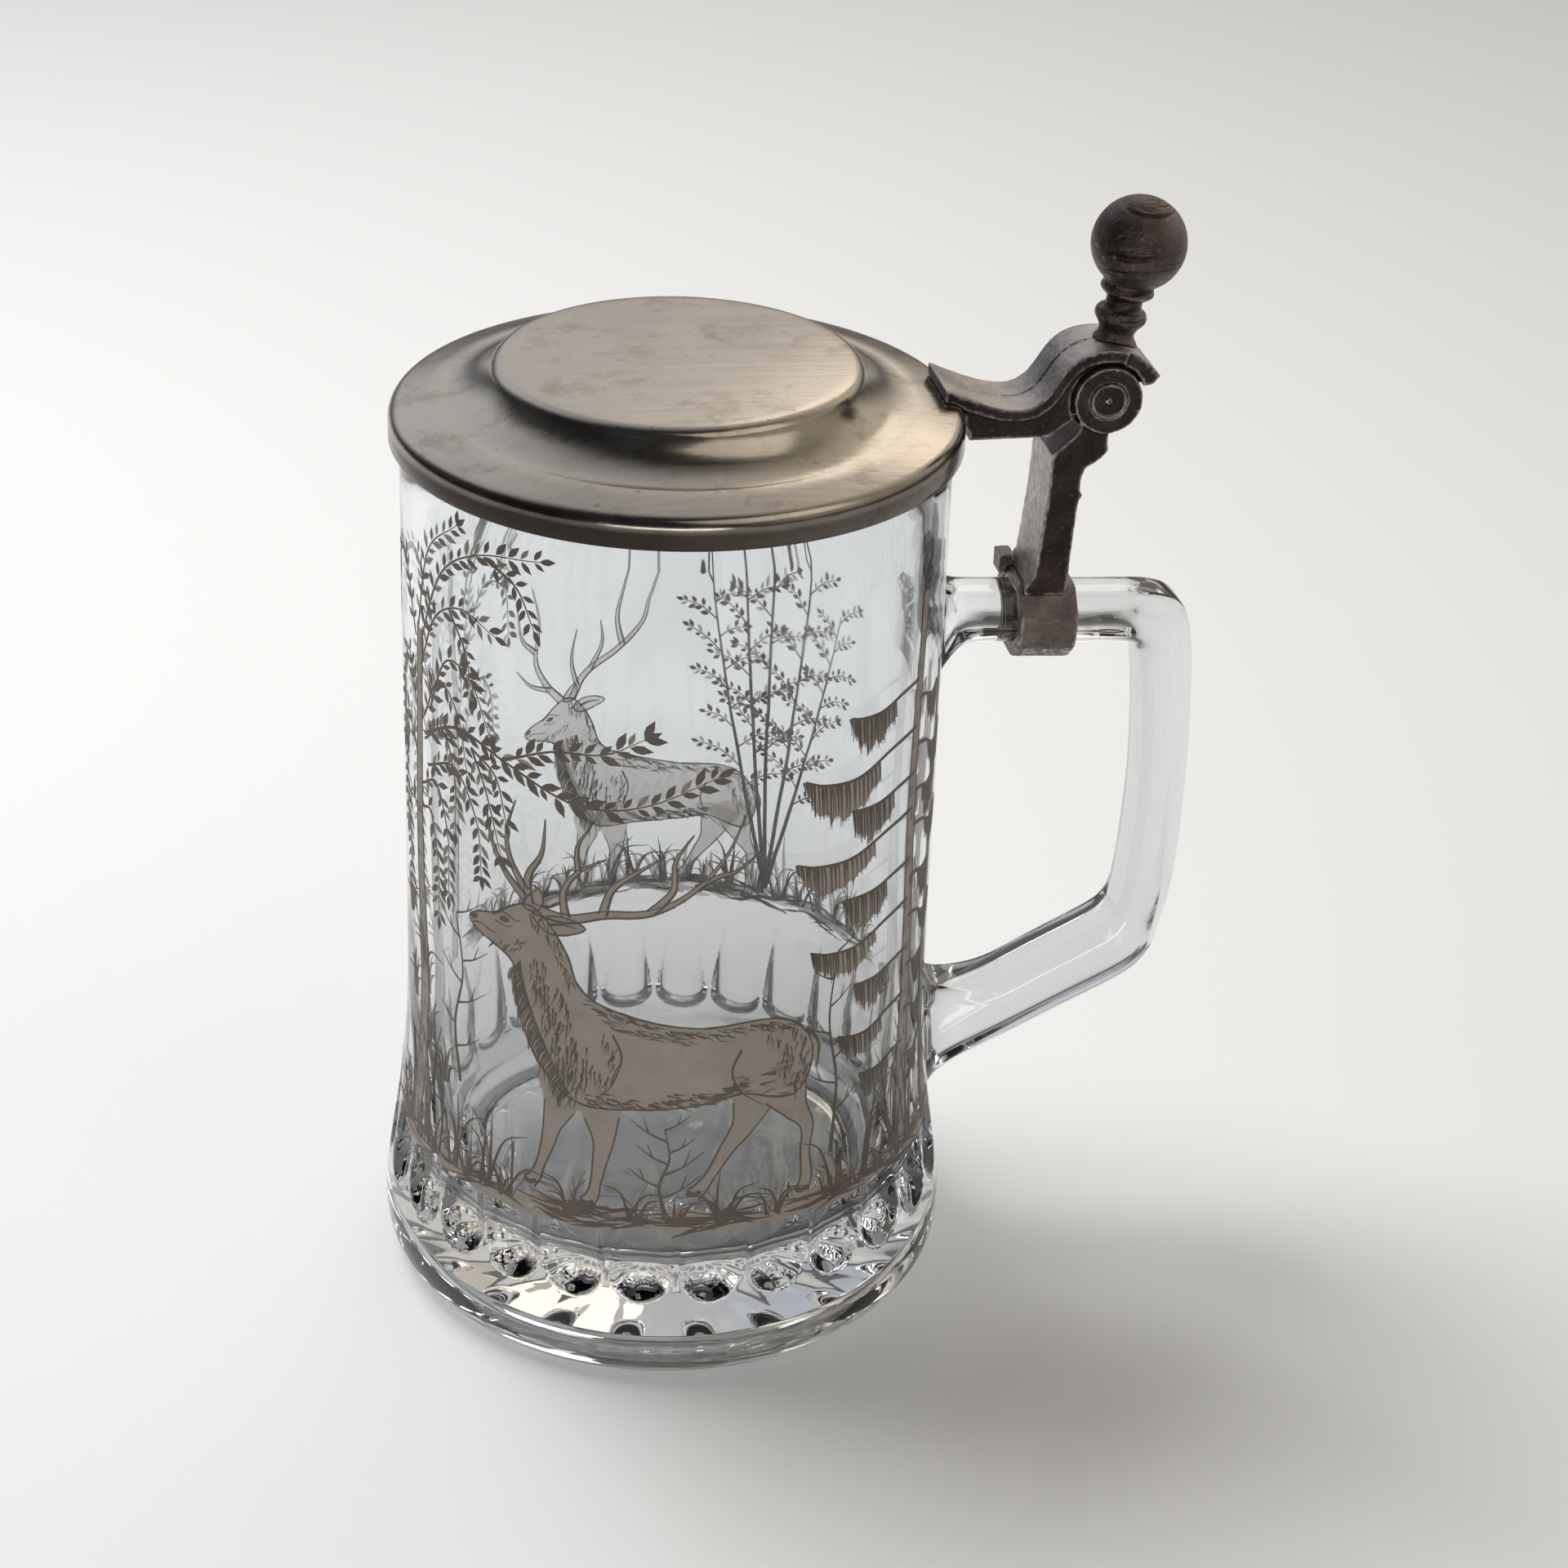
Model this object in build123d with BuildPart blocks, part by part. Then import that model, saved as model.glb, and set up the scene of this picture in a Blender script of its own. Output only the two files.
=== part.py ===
from build123d import *
import math
import os

os.makedirs("parts", exist_ok=True)

# Half-litre lidded glass stein.
# Frame: mm, +Z up, origin at the centre of the foot's underside on the mug's axis,
# handle towards +X, hinge axis along Y.

# ---------------------------------------------------------------- driving dimensions
# glass body
MUG_HEIGHT = 144.6
BODY_R = 41.9
WALL = 3.7
RIM_ROUND = 1.5
FOOT_R = 46.2
FOOT_WIDEST_Z = 8.6
REST_RING_OUTER = 43.0
REST_RING_INNER = 38.0
FLOOR_Z = 15.5
FLOOR_CORNER_R = 8.0

# pressed flutes above the foot
FLUTE_COUNT = 26
FLUTE_R = 7.0
FLUTE_LOW_Z = 21.6
FLUTE_LOW_RADIUS = 49.6
FLUTE_HIGH_Z = 44.0
FLUTE_HIGH_RADIUS = 51.1

# star pressed into the underside
RECESS_DEPTH = 3.2
STAR_COUNT = 20
STAR_R = 2.5
STAR_AXIS_Z = 1.6
STAR_FROM = 13.0
STAR_TO = 33.0

# handle
HANDLE_HALF_WIDTH = 6.2
HANDLE_ROOT_X = 39.9
ARM_SLOPE = 3.4
ARM_TOP_Z = 115.1
ARM_HEIGHT = 8.2
ARM_START_X = 46.0
OUTER_CHAMFER = 2.9
INNER_CHAMFER = 2.1
TOP_CORNER_R = 6.5
LOW_CORNER_R = 7.0
INNER_TOP_CORNER_R = 3.0
INNER_LOW_CORNER_R = 5.0
GRIP_MIDDLE_X = 79.5
LOWER_ARM_MIDDLE = (48.2, 36.7)
LOWER_ARM_RISE = 0.52

# band and its lining round the handle's upper arm
BAND_X = 58.4
BAND_WIDTH = 9.6
LINER_THICKNESS = 0.5
LINER_EDGE_SETBACK = 0.4
BAND_THICKNESS = 1.7
BAND_EDGE_R = 0.5
EAR_CENTRE = (53.6, 117.0)
EAR_SIZE = (2.6, 3.4)
EAR_Y = 6.4
EAR_DEPTH = 3.6

# hinge
PIVOT_X = 65.6
PIVOT_Z = 147.6
KNUCKLE_R = 5.4
KNUCKLE_GAP = 0.35
HINGE_HALF_WIDTH = 6.5
RING_EDGES = (1.35, 3.95)
RING_SIDE_GAP = 0.1
PIN_R = 1.5
PIN_RUNNING_GAP = 0.05
CAP_R = 2.85
CAP_DEPTH = 0.9
CAP_RAISE = 0.15
CAP_EDGE = 0.5
CAP_BOSS_R = 0.45
CAP_BOSS_HEIGHT = 0.25
POST_HALF_WIDTH = 5.9

# lid
LID_R = 43.5
SKIRT_BOTTOM_Z = 142.8
SKIRT_THICKNESS = 0.8
SEAT_GAP = 0.3
PLATEAU_R = 27.6
PLATEAU_Z = 154.9
LID_TOP_Z = 155.3

# strap between lid and hinge
STRAP_HALF_WIDTH = 6.1
BAR_HALF_WIDTH = 5.7
STRAP_THICKNESS = 2.0
SEAM_WIDTH = 0.8
SEAM_DEPTH = 0.2
CREST_R = 6.4
CREST_INNER_R = 4.5

# thumblift
LIFT_BASE = (67.55, 154.9)
LIFT_LEAN = 10.0
BALL_R = 7.4
BALL_HEIGHT = 15.9


def facing_front(y):
    """Sketch plane across the hinge axis at the given Y; its local axes are X and Z."""
    return Plane.XZ.offset(-y)


def arm_line(x, z_at_start):
    """Height of a line that runs parallel to the upper arm, which falls away from the mug."""
    return z_at_start - (x - ARM_START_X) * math.tan(math.radians(ARM_SLOPE))


# ---------------------------------------------------------------- glass mug
def body_outline():
    """Outer profile of the mug, from the axis round the foot and up the wall."""
    Polyline((0, MUG_HEIGHT), (0, RECESS_DEPTH), (REST_RING_INNER - 4.5, RECESS_DEPTH))
    Line((REST_RING_INNER - 4.5, RECESS_DEPTH), (REST_RING_INNER, 0))
    Line((REST_RING_INNER, 0), (REST_RING_OUTER, 0))
    Spline(
        (REST_RING_OUTER, 0),
        (FOOT_R - 0.75, 3.3),
        (FOOT_R, FOOT_WIDEST_Z),
        (FOOT_R - 0.85, 16.5),
        (FOOT_R - 2.6, 29.0),
        (BODY_R + 0.35, 44.0),
        (BODY_R, 62.0),
        tangents=[(1, 0.35), (0, 1)],
    )
    Line((BODY_R, 62.0), (BODY_R, MUG_HEIGHT))
    Line((BODY_R, MUG_HEIGHT), (0, MUG_HEIGHT))


def handle_outline():
    """Closed C-shaped outline of the handle in the XZ plane, with flared roots."""
    top_root = arm_line(ARM_START_X, ARM_TOP_Z)
    top_corner = (82.9, arm_line(82.9, ARM_TOP_Z))
    low_corner = (80.9, 45.3)
    low_bottom_root = (48.2, 28.8)
    low_top_root = (54.5, 44.6)
    inner_low = (74.3, 54.9)
    inner_high = (74.5, arm_line(74.5, ARM_TOP_Z - ARM_HEIGHT))
    arm_bottom_root = (48.4, arm_line(48.4, ARM_TOP_Z - ARM_HEIGHT))
    ThreePointArc(top_corner, (84.7, 79.0), low_corner)
    Line(low_corner, low_bottom_root)
    ThreePointArc(low_bottom_root, (44.9, 26.3), (HANDLE_ROOT_X, 19.5))
    Line((HANDLE_ROOT_X, 19.5), (HANDLE_ROOT_X, 45.6))
    ThreePointArc((HANDLE_ROOT_X, 45.6), (48.5, 43.3), low_top_root)
    Line(low_top_root, inner_low)
    ThreePointArc(inner_low, (76.5, 79.0), inner_high)
    Line(inner_high, arm_bottom_root)
    ThreePointArc(arm_bottom_root, (43.9, 105.2), (HANDLE_ROOT_X, 97.5))
    Line((HANDLE_ROOT_X, 97.5), (HANDLE_ROOT_X, 117.6))
    ThreePointArc((HANDLE_ROOT_X, 117.6), (43.4, 115.75), (ARM_START_X, top_root))
    Line((ARM_START_X, top_root), top_corner)


def is_on_outer_side(edge):
    """True for an outline edge of the handle that faces away from the finger gap."""
    middle = edge.position_at(0.5)
    if middle.Z > arm_line(middle.X, ARM_TOP_Z - ARM_HEIGHT / 2):
        return True
    if middle.X > GRIP_MIDDLE_X:
        return True
    return middle.Z < LOWER_ARM_MIDDLE[1] + LOWER_ARM_RISE * (middle.X - LOWER_ARM_MIDDLE[0])


with BuildPart() as handle:
    with BuildSketch(Plane.XZ) as handle_sketch:
        with BuildLine():
            handle_outline()
        make_face()
        corners = handle_sketch.vertices()
        fillet(corners.filter_by(lambda v: v.X > 82 and v.Z > 100), radius=TOP_CORNER_R)
        corners = handle_sketch.vertices()
        fillet(corners.filter_by(lambda v: v.X > 80.5 and v.Z < 48), radius=LOW_CORNER_R)
        corners = handle_sketch.vertices()
        fillet(corners.filter_by(lambda v: 73 < v.X < 75.5 and v.Z < 60), radius=INNER_LOW_CORNER_R)
        corners = handle_sketch.vertices()
        fillet(corners.filter_by(lambda v: 73 < v.X < 75.5 and v.Z > 100), radius=INNER_TOP_CORNER_R)
    extrude(amount=HANDLE_HALF_WIDTH, both=True)
    side_faces = handle.faces().filter_by(Axis.Y)
    outline_edges = side_faces.edges().filter_by(lambda e: e.center().X > HANDLE_ROOT_X + 0.01)
    chamfer(outline_edges.filter_by(is_on_outer_side), length=OUTER_CHAMFER)
    side_faces = handle.faces().filter_by(Axis.Y)
    outline_edges = side_faces.edges().filter_by(lambda e: e.center().X > HANDLE_ROOT_X + 0.01)
    chamfer(outline_edges.filter_by(lambda e: not is_on_outer_side(e)), length=INNER_CHAMFER)

with BuildPart() as glass_mug:
    with BuildSketch(Plane.XZ):
        with BuildLine():
            body_outline()
        make_face()
    revolve(axis=Axis.Z)
    for index in range(FLUTE_COUNT):
        spoke = Plane.XY.rotated((0, 0, (index + 0.5) * 360 / FLUTE_COUNT))
        low = spoke.from_local_coords(Vector(FLUTE_LOW_RADIUS, 0, FLUTE_LOW_Z))
        high = spoke.from_local_coords(Vector(FLUTE_HIGH_RADIUS, 0, FLUTE_HIGH_Z))
        along = Plane(origin=low, z_dir=high - low)
        with BuildSketch(along):
            Circle(FLUTE_R)
        extrude(amount=(high - low).length, mode=Mode.SUBTRACT)
        with Locations(low):
            Sphere(FLUTE_R, mode=Mode.SUBTRACT)
    add(handle.part)
    inner_r = BODY_R - WALL
    with BuildSketch(Plane.XZ):
        with BuildLine():
            Polyline((0, MUG_HEIGHT), (0, FLOOR_Z), (inner_r - FLOOR_CORNER_R, FLOOR_Z))
            RadiusArc(
                (inner_r - FLOOR_CORNER_R, FLOOR_Z),
                (inner_r, FLOOR_Z + FLOOR_CORNER_R),
                -FLOOR_CORNER_R,
            )
            Polyline((inner_r, FLOOR_Z + FLOOR_CORNER_R), (inner_r, MUG_HEIGHT), (0, MUG_HEIGHT))
        make_face()
    revolve(axis=Axis.Z, mode=Mode.SUBTRACT)
    fillet(glass_mug.edges().filter_by(GeomType.CIRCLE).group_by(Axis.Z)[-1], radius=RIM_ROUND)
    for index in range(STAR_COUNT):
        spoke = Plane.XY.rotated((0, 0, index * 360 / STAR_COUNT))
        start = spoke.from_local_coords(Vector(STAR_FROM, 0, STAR_AXIS_Z))
        along = Plane(origin=start, z_dir=spoke.x_dir)
        with BuildSketch(along):
            Circle(STAR_R)
        extrude(amount=STAR_TO - STAR_FROM, mode=Mode.SUBTRACT)
glass_mug.part.label = "glass_mug"
export_step(glass_mug.part, "parts/glass_mug.step")


# ---------------------------------------------------------------- band and lining
def arm_section_plane(x):
    """Plane across the upper arm at x: local x is Y, local y is up, origin on the arm's top face."""
    slope = math.radians(ARM_SLOPE)
    origin = (x, 0, arm_line(x, ARM_TOP_Z))
    return Plane(origin=origin, x_dir=(0, 1, 0), z_dir=(math.cos(slope), 0, -math.sin(slope)))


def arm_section():
    """Closed octagonal section of the glass arm."""
    bottom = -ARM_HEIGHT * math.cos(math.radians(ARM_SLOPE))
    flat_top = HANDLE_HALF_WIDTH - OUTER_CHAMFER
    flat_bottom = HANDLE_HALF_WIDTH - INNER_CHAMFER
    Polygon(
        (flat_top, 0),
        (HANDLE_HALF_WIDTH, -OUTER_CHAMFER),
        (HANDLE_HALF_WIDTH, bottom + INNER_CHAMFER),
        (flat_bottom, bottom),
        (-flat_bottom, bottom),
        (-HANDLE_HALF_WIDTH, bottom + INNER_CHAMFER),
        (-HANDLE_HALF_WIDTH, -OUTER_CHAMFER),
        (-flat_top, 0),
        align=None,
    )


LINER_WIDTH = BAND_WIDTH - 2 * LINER_EDGE_SETBACK
BAND_REACH = LINER_THICKNESS + BAND_THICKNESS

with BuildPart() as band_lining:
    with BuildSketch(arm_section_plane(BAND_X - LINER_WIDTH / 2)):
        arm_section()
        offset(amount=LINER_THICKNESS, kind=Kind.ARC)
        with BuildSketch(arm_section_plane(BAND_X - LINER_WIDTH / 2), mode=Mode.PRIVATE) as hole:
            arm_section()
        add(hole.sketch_local, mode=Mode.SUBTRACT)
    extrude(amount=LINER_WIDTH)
band_lining.part.label = "band_lining"
export_step(band_lining.part, "parts/band_lining.step")

with BuildPart() as band_envelope:
    with BuildSketch(arm_section_plane(BAND_X - BAND_WIDTH / 2)):
        arm_section()
        offset(amount=BAND_REACH, kind=Kind.ARC)
    extrude(amount=BAND_WIDTH)

with BuildPart() as handle_band:
    add(band_envelope.part)
    fillet(handle_band.edges().filter_by(GeomType.LINE).filter_by(Axis.Y), radius=BAND_EDGE_R)
    with BuildSketch(facing_front(EAR_Y)):
        with Locations(EAR_CENTRE):
            Rectangle(*EAR_SIZE)
    extrude(amount=EAR_DEPTH)
    with BuildSketch(arm_section_plane(BAND_X - BAND_WIDTH)):
        arm_section()
        offset(amount=LINER_THICKNESS, kind=Kind.ARC)
    extrude(amount=2 * BAND_WIDTH, mode=Mode.SUBTRACT)
handle_band.part.label = "handle_band"
export_step(handle_band.part, "parts/handle_band.step")


# ---------------------------------------------------------------- hinge post, pin and caps
def on_hinge_axis(y_from, y_to):
    """Middle of a stretch of the hinge axis between two Y positions."""
    return (PIVOT_X, (y_from + y_to) / 2, PIVOT_Z)


ACROSS = (90, 0, 0)
HINGE_WIDTH = 2 * HINGE_HALF_WIDTH
RING_IN, RING_OUT = RING_EDGES
POST_RINGS = [(-HINGE_HALF_WIDTH, -RING_OUT), (-RING_IN, RING_IN), (RING_OUT, HINGE_HALF_WIDTH)]
STRAP_RINGS = [
    (-RING_OUT + RING_SIDE_GAP, -RING_IN - RING_SIDE_GAP),
    (RING_IN + RING_SIDE_GAP, RING_OUT - RING_SIDE_GAP),
]
STRAP_RING_SLOTS = [(-RING_OUT, -RING_IN), (RING_IN, RING_OUT)]

with BuildPart() as hinge_post:
    with BuildSketch(Plane.XZ):
        with BuildLine():
            Polyline((54.3, 115.0), (54.3, 116.6), (55.75, 118.6), (56.9, 129.8), (57.2, 134.6))
            Polyline((57.2, 134.6), (57.3, 138.8), (60.7, 141.9), (62.6, 144.5))
            Polyline((62.6, 144.5), (66.1, 144.5), (66.15, 140.6), (66.35, 139.1))
            ThreePointArc((66.35, 139.1), (64.9, 137.6), (62.9, 136.4))
            Polyline((62.9, 136.4), (62.4, 134.6), (62.35, 132.6), (62.8, 131.8), (62.2, 131.0))
            Polyline((62.2, 131.0), (61.2, 115.0), (54.3, 115.0))
        make_face()
    extrude(amount=POST_HALF_WIDTH, both=True)
    for y_from, y_to in POST_RINGS:
        with Locations(on_hinge_axis(y_from, y_to)):
            Cylinder(KNUCKLE_R, y_to - y_from, rotation=ACROSS)
    for y_from, y_to in STRAP_RING_SLOTS:
        with Locations(on_hinge_axis(y_from, y_to)):
            Cylinder(KNUCKLE_R + KNUCKLE_GAP, y_to - y_from, rotation=ACROSS, mode=Mode.SUBTRACT)
    with Locations((PIVOT_X, 0, PIVOT_Z)):
        Cylinder(PIN_R, HINGE_WIDTH, rotation=ACROSS, mode=Mode.SUBTRACT)
    for side in (-1, 1):
        with Locations((PIVOT_X, side * (HINGE_HALF_WIDTH - CAP_DEPTH / 2), PIVOT_Z)):
            Cylinder(CAP_R, CAP_DEPTH, rotation=ACROSS, mode=Mode.SUBTRACT)
    add(band_envelope.part, mode=Mode.SUBTRACT)
    add(handle_band.part, mode=Mode.SUBTRACT)
hinge_post.part.label = "hinge_post"
export_step(hinge_post.part, "parts/hinge_post.step")

PIN_HALF_LENGTH = HINGE_HALF_WIDTH - CAP_DEPTH
with BuildPart() as hinge_pin:
    with Locations((PIVOT_X, 0, PIVOT_Z)):
        Cylinder(PIN_R, 2 * PIN_HALF_LENGTH, rotation=ACROSS)
hinge_pin.part.label = "hinge_pin"
export_step(hinge_pin.part, "parts/hinge_pin.step")


def pin_cap(side, name):
    """Round plug that closes one end of the knuckle, with a raised edge and a boss in its middle."""
    outer = Plane(origin=(PIVOT_X, side * HINGE_HALF_WIDTH, PIVOT_Z), x_dir=(1, 0, 0), z_dir=(0, side, 0))
    with BuildPart() as cap:
        with BuildSketch(outer.offset(-CAP_DEPTH)):
            Circle(CAP_R)
        extrude(amount=CAP_DEPTH + CAP_RAISE)
        with BuildSketch(outer.offset(CAP_RAISE)):
            Circle(CAP_R - CAP_EDGE)
        extrude(amount=-2 * CAP_RAISE, mode=Mode.SUBTRACT)
        with BuildSketch(outer.offset(-CAP_RAISE)):
            Circle(CAP_BOSS_R)
        extrude(amount=CAP_BOSS_HEIGHT)
    cap.part.label = name
    export_step(cap.part, f"parts/{name}.step")


pin_cap(-1, "pin_cap_front")
pin_cap(1, "pin_cap_rear")


# ---------------------------------------------------------------- lid
def lid_top_outline():
    """Upper surface of the lid: crown, plateau edge, cove, sloping flange and shoulder."""
    Line((0, LID_TOP_Z), (PLATEAU_R - 1.2, PLATEAU_Z))
    ThreePointArc((PLATEAU_R - 1.2, PLATEAU_Z), (PLATEAU_R - 0.1, 154.55), (PLATEAU_R + 0.6, 153.6))
    ThreePointArc((PLATEAU_R + 0.6, 153.6), (31.1, 150.6), (36.6, 149.1))
    Line((36.6, 149.1), (41.9, 147.9))
    ThreePointArc((41.9, 147.9), (43.05, 147.2), (LID_R, 145.9))
    Line((LID_R, 145.9), (LID_R, SKIRT_BOTTOM_Z))


SEAT_Z = MUG_HEIGHT + SEAT_GAP
SKIRT_INNER_R = LID_R - SKIRT_THICKNESS

with BuildPart() as lid_envelope:
    with BuildSketch(Plane.XZ):
        with BuildLine():
            lid_top_outline()
            Polyline((LID_R, SKIRT_BOTTOM_Z), (0, SKIRT_BOTTOM_Z), (0, LID_TOP_Z))
        make_face()
    revolve(axis=Axis.Z)

with BuildPart() as lid:
    with BuildSketch(Plane.XZ):
        with BuildLine():
            lid_top_outline()
            Polyline((LID_R, SKIRT_BOTTOM_Z), (SKIRT_INNER_R, SKIRT_BOTTOM_Z))
            Polyline((SKIRT_INNER_R, SKIRT_BOTTOM_Z), (SKIRT_INNER_R, SEAT_Z), (36.4, SEAT_Z))
            Polyline((36.4, SEAT_Z), (35.8, 147.2), (30.6, 148.9))
            ThreePointArc((30.6, 148.9), (27.6, 150.4), (26.1, 152.9))
            Polyline((26.1, 152.9), (0, 153.3), (0, LID_TOP_Z))
        make_face()
    revolve(axis=Axis.Z)
lid.part.label = "lid"
export_step(lid.part, "parts/lid.step")


# ---------------------------------------------------------------- strap (tang) of the lid
HOOD_R = KNUCKLE_R + KNUCKLE_GAP


def about_pivot(radius, degrees):
    """Point in the XZ plane at a radius and an angle from the hinge axis."""
    angle = math.radians(degrees)
    return (PIVOT_X + radius * math.cos(angle), PIVOT_Z + radius * math.sin(angle))


def strap_top():
    """Upper edge of the strap from the leaf on the lid up and over the knuckle."""
    Spline(
        (39.9, 150.5),
        (46.2, 147.9),
        (50.6, 146.8),
        (53.7, 147.1),
        (56.3, 149.3),
        (58.2, 152.3),
        (60.9, 154.7),
        (64.6, 155.7),
        (68.6, 155.2),
        tangents=[(1, -0.42), (1, -0.3)],
    )


def strap_outline():
    """Whole side view of the strap, with its leaf, bar, cheek and hood."""
    strap_top()
    Spline((68.6, 155.2), (71.6, 153.3), (73.9, 151.0), tangents=[(1, -0.3), (1, -0.9)])
    Polyline((73.9, 151.0), (72.6, 149.6), about_pivot(HOOD_R, 18))
    ThreePointArc(about_pivot(HOOD_R, 18), about_pivot(HOOD_R, 115), about_pivot(HOOD_R, 212))
    Polyline(about_pivot(HOOD_R, 212), (56.6, 141.7), (44.0, 141.7))
    Polyline((44.0, 141.7), (44.0, 143.2), (39.9, 146.5), (39.9, 150.5))


def crest_outline():
    """Closed outline of the crest that joins a strap ring to the hood."""
    ThreePointArc(about_pivot(CREST_R, 80), about_pivot(CREST_R, 140), about_pivot(CREST_R, 205))
    Line(about_pivot(CREST_R, 205), about_pivot(CREST_INNER_R, 205))
    ThreePointArc(
        about_pivot(CREST_INNER_R, 205),
        about_pivot(CREST_INNER_R, 140),
        about_pivot(CREST_INNER_R, 80),
    )
    Line(about_pivot(CREST_INNER_R, 80), about_pivot(CREST_R, 80))


with BuildPart() as lid_strap:
    with BuildSketch(Plane.XZ):
        with BuildLine():
            strap_outline()
        make_face()
    extrude(amount=BAR_HALF_WIDTH, both=True)
    with BuildSketch(Plane.XZ):
        with BuildLine():
            strap_outline()
        make_face()
        with BuildLine() as plate_line:
            strap_top()
        trace(plate_line.edges(), line_width=2 * STRAP_THICKNESS, mode=Mode.INTERSECT)
    extrude(amount=STRAP_HALF_WIDTH, both=True)
    with BuildSketch(Plane.XZ):
        with BuildLine() as seam_line:
            strap_top()
        trace(seam_line.edges(), line_width=SEAM_WIDTH)
        with Locations((55.5, 150.0)):
            Rectangle(17.0, 14.0, mode=Mode.INTERSECT)
    extrude(amount=SEAM_DEPTH, both=True, mode=Mode.SUBTRACT)
    for y_from, y_to in STRAP_RINGS:
        with Locations(on_hinge_axis(y_from, y_to)):
            Cylinder(KNUCKLE_R, y_to - y_from, rotation=ACROSS)
        with BuildSketch(facing_front(y_from)):
            with BuildLine():
                crest_outline()
            make_face()
        extrude(amount=y_from - y_to)
    with Locations((PIVOT_X, 0, PIVOT_Z)):
        Cylinder(PIN_R + PIN_RUNNING_GAP, HINGE_WIDTH, rotation=ACROSS, mode=Mode.SUBTRACT)
    add(lid_envelope.part, mode=Mode.SUBTRACT)
lid_strap.part.label = "lid_strap"
export_step(lid_strap.part, "parts/lid_strap.step")

# ---------------------------------------------------------------- thumblift
LEAN = math.radians(LIFT_LEAN)
lift_plane = Plane(
    origin=(LIFT_BASE[0], 0, LIFT_BASE[1]),
    x_dir=(0, 1, 0),
    z_dir=(math.sin(LEAN), 0, math.cos(LEAN)),
)
BALL_MEETS_R = 3.9
BALL_MEETS_H = BALL_HEIGHT - math.sqrt(BALL_R**2 - BALL_MEETS_R**2)

with BuildPart() as thumblift_blank:
    with BuildSketch(Plane.XZ):
        with BuildLine():
            Polyline((0, BALL_HEIGHT + BALL_R), (0, -3.0), (3.8, -3.0), (3.8, -0.3))
            Spline(
                (3.8, -0.3),
                (2.85, 1.5),
                (3.4, 2.9),
                (4.15, 4.2),
                (3.5, 5.5),
                (2.85, 7.1),
                tangents=[(-0.3, 1), (0, 1)],
            )
            Polyline((2.85, 7.1), (3.9, 7.8), (4.3, 8.25), (4.25, 8.7), (BALL_MEETS_R, BALL_MEETS_H))
            ThreePointArc(
                (BALL_MEETS_R, BALL_MEETS_H),
                (BALL_R, BALL_HEIGHT),
                (0, BALL_HEIGHT + BALL_R),
            )
        make_face()
    revolve(axis=Axis.Z)

with BuildPart() as thumblift:
    add(lift_plane.location * thumblift_blank.part)
    add(lid_strap.part, mode=Mode.SUBTRACT)
    with Locations((PIVOT_X, 0, PIVOT_Z)):
        Cylinder(HOOD_R, HINGE_WIDTH, rotation=ACROSS, mode=Mode.SUBTRACT)
thumblift.part.label = "thumblift"
export_step(thumblift.part, "parts/thumblift.step")
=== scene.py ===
import bpy
import bmesh
import math
import random
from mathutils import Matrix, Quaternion, Vector, geometry, noise


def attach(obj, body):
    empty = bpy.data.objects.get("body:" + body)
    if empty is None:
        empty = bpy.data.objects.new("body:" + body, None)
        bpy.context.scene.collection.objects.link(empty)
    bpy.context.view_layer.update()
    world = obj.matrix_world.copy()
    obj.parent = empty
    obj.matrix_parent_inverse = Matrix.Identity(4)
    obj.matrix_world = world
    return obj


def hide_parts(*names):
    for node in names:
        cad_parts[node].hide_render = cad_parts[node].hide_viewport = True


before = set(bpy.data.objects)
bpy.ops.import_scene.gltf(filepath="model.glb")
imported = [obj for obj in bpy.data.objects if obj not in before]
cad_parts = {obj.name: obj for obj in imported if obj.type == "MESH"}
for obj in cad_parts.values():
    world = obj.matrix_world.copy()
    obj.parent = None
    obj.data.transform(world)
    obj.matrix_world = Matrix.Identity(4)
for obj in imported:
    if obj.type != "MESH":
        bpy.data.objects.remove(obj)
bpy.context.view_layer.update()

MM = 0.001
TAU = 2 * math.pi

# ---------------------------------------------------------------- sizes, in mm, in the CAD's frame
MUG_HEIGHT = 144.6
BODY_R = 41.9
WALL = 3.7
RIM_ROUND = 1.5
FLOOR_Z = 15.5
FLOOR_CORNER_R = 8.0
FOOT_ROW, FLUTE_ROW = 1.0, 0.4  # height between two rows of the mesh, on the foot and where the flutes are
FLUTE_FACETS = 28  # mesh columns per flute
FOOT_PROFILE = [  # radius and height, from the resting ring up to the straight wall
    (43.0, 0.0), (45.45, 3.3), (46.2, 8.6), (45.35, 16.5), (43.6, 29.0), (42.25, 44.0), (41.9, 62.0),
]
REST_RING_INNER = 38.0
REST_RING_MIDDLE = 40.5
RECESS_R = 33.5
RECESS_DEPTH = 3.2
RECESS_SLOPE = [(35.0, 2.13), (36.5, 1.07)]  # radius and height, down to the resting ring
FLUTES = 26
FLUTE_BAND = (13.5, 40.0)  # heights between which the flutes can cut the wall
FLUTE_R = 7.0
FLUTE_LOW = (49.3, 21.0)  # radius and height at the two ends of a flute cutter's axis
FLUTE_HIGH = (49.5, 44.0)
STAR_RAYS = 20
STAR_R = 2.5
STAR_DEPTH = 0.1  # shallower than the CAD's, which in clear glass would outshine the flutes
STAR_FROM, STAR_TO = 13.0, 33.0
STAR_EDGE = 0.1


def link(obj):
    """Puts a new object in the scene."""
    bpy.context.scene.collection.objects.link(obj)
    return obj


def mesh_object(name, points, faces, smooth=True):
    """Makes a mesh object from points in millimetres."""
    mesh = bpy.data.meshes.new(name)
    mesh.from_pydata([(x * MM, y * MM, z * MM) for x, y, z in points], [], faces)
    mesh.validate()
    if smooth:
        mesh.shade_smooth()
    return link(bpy.data.objects.new(name, mesh))


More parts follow.
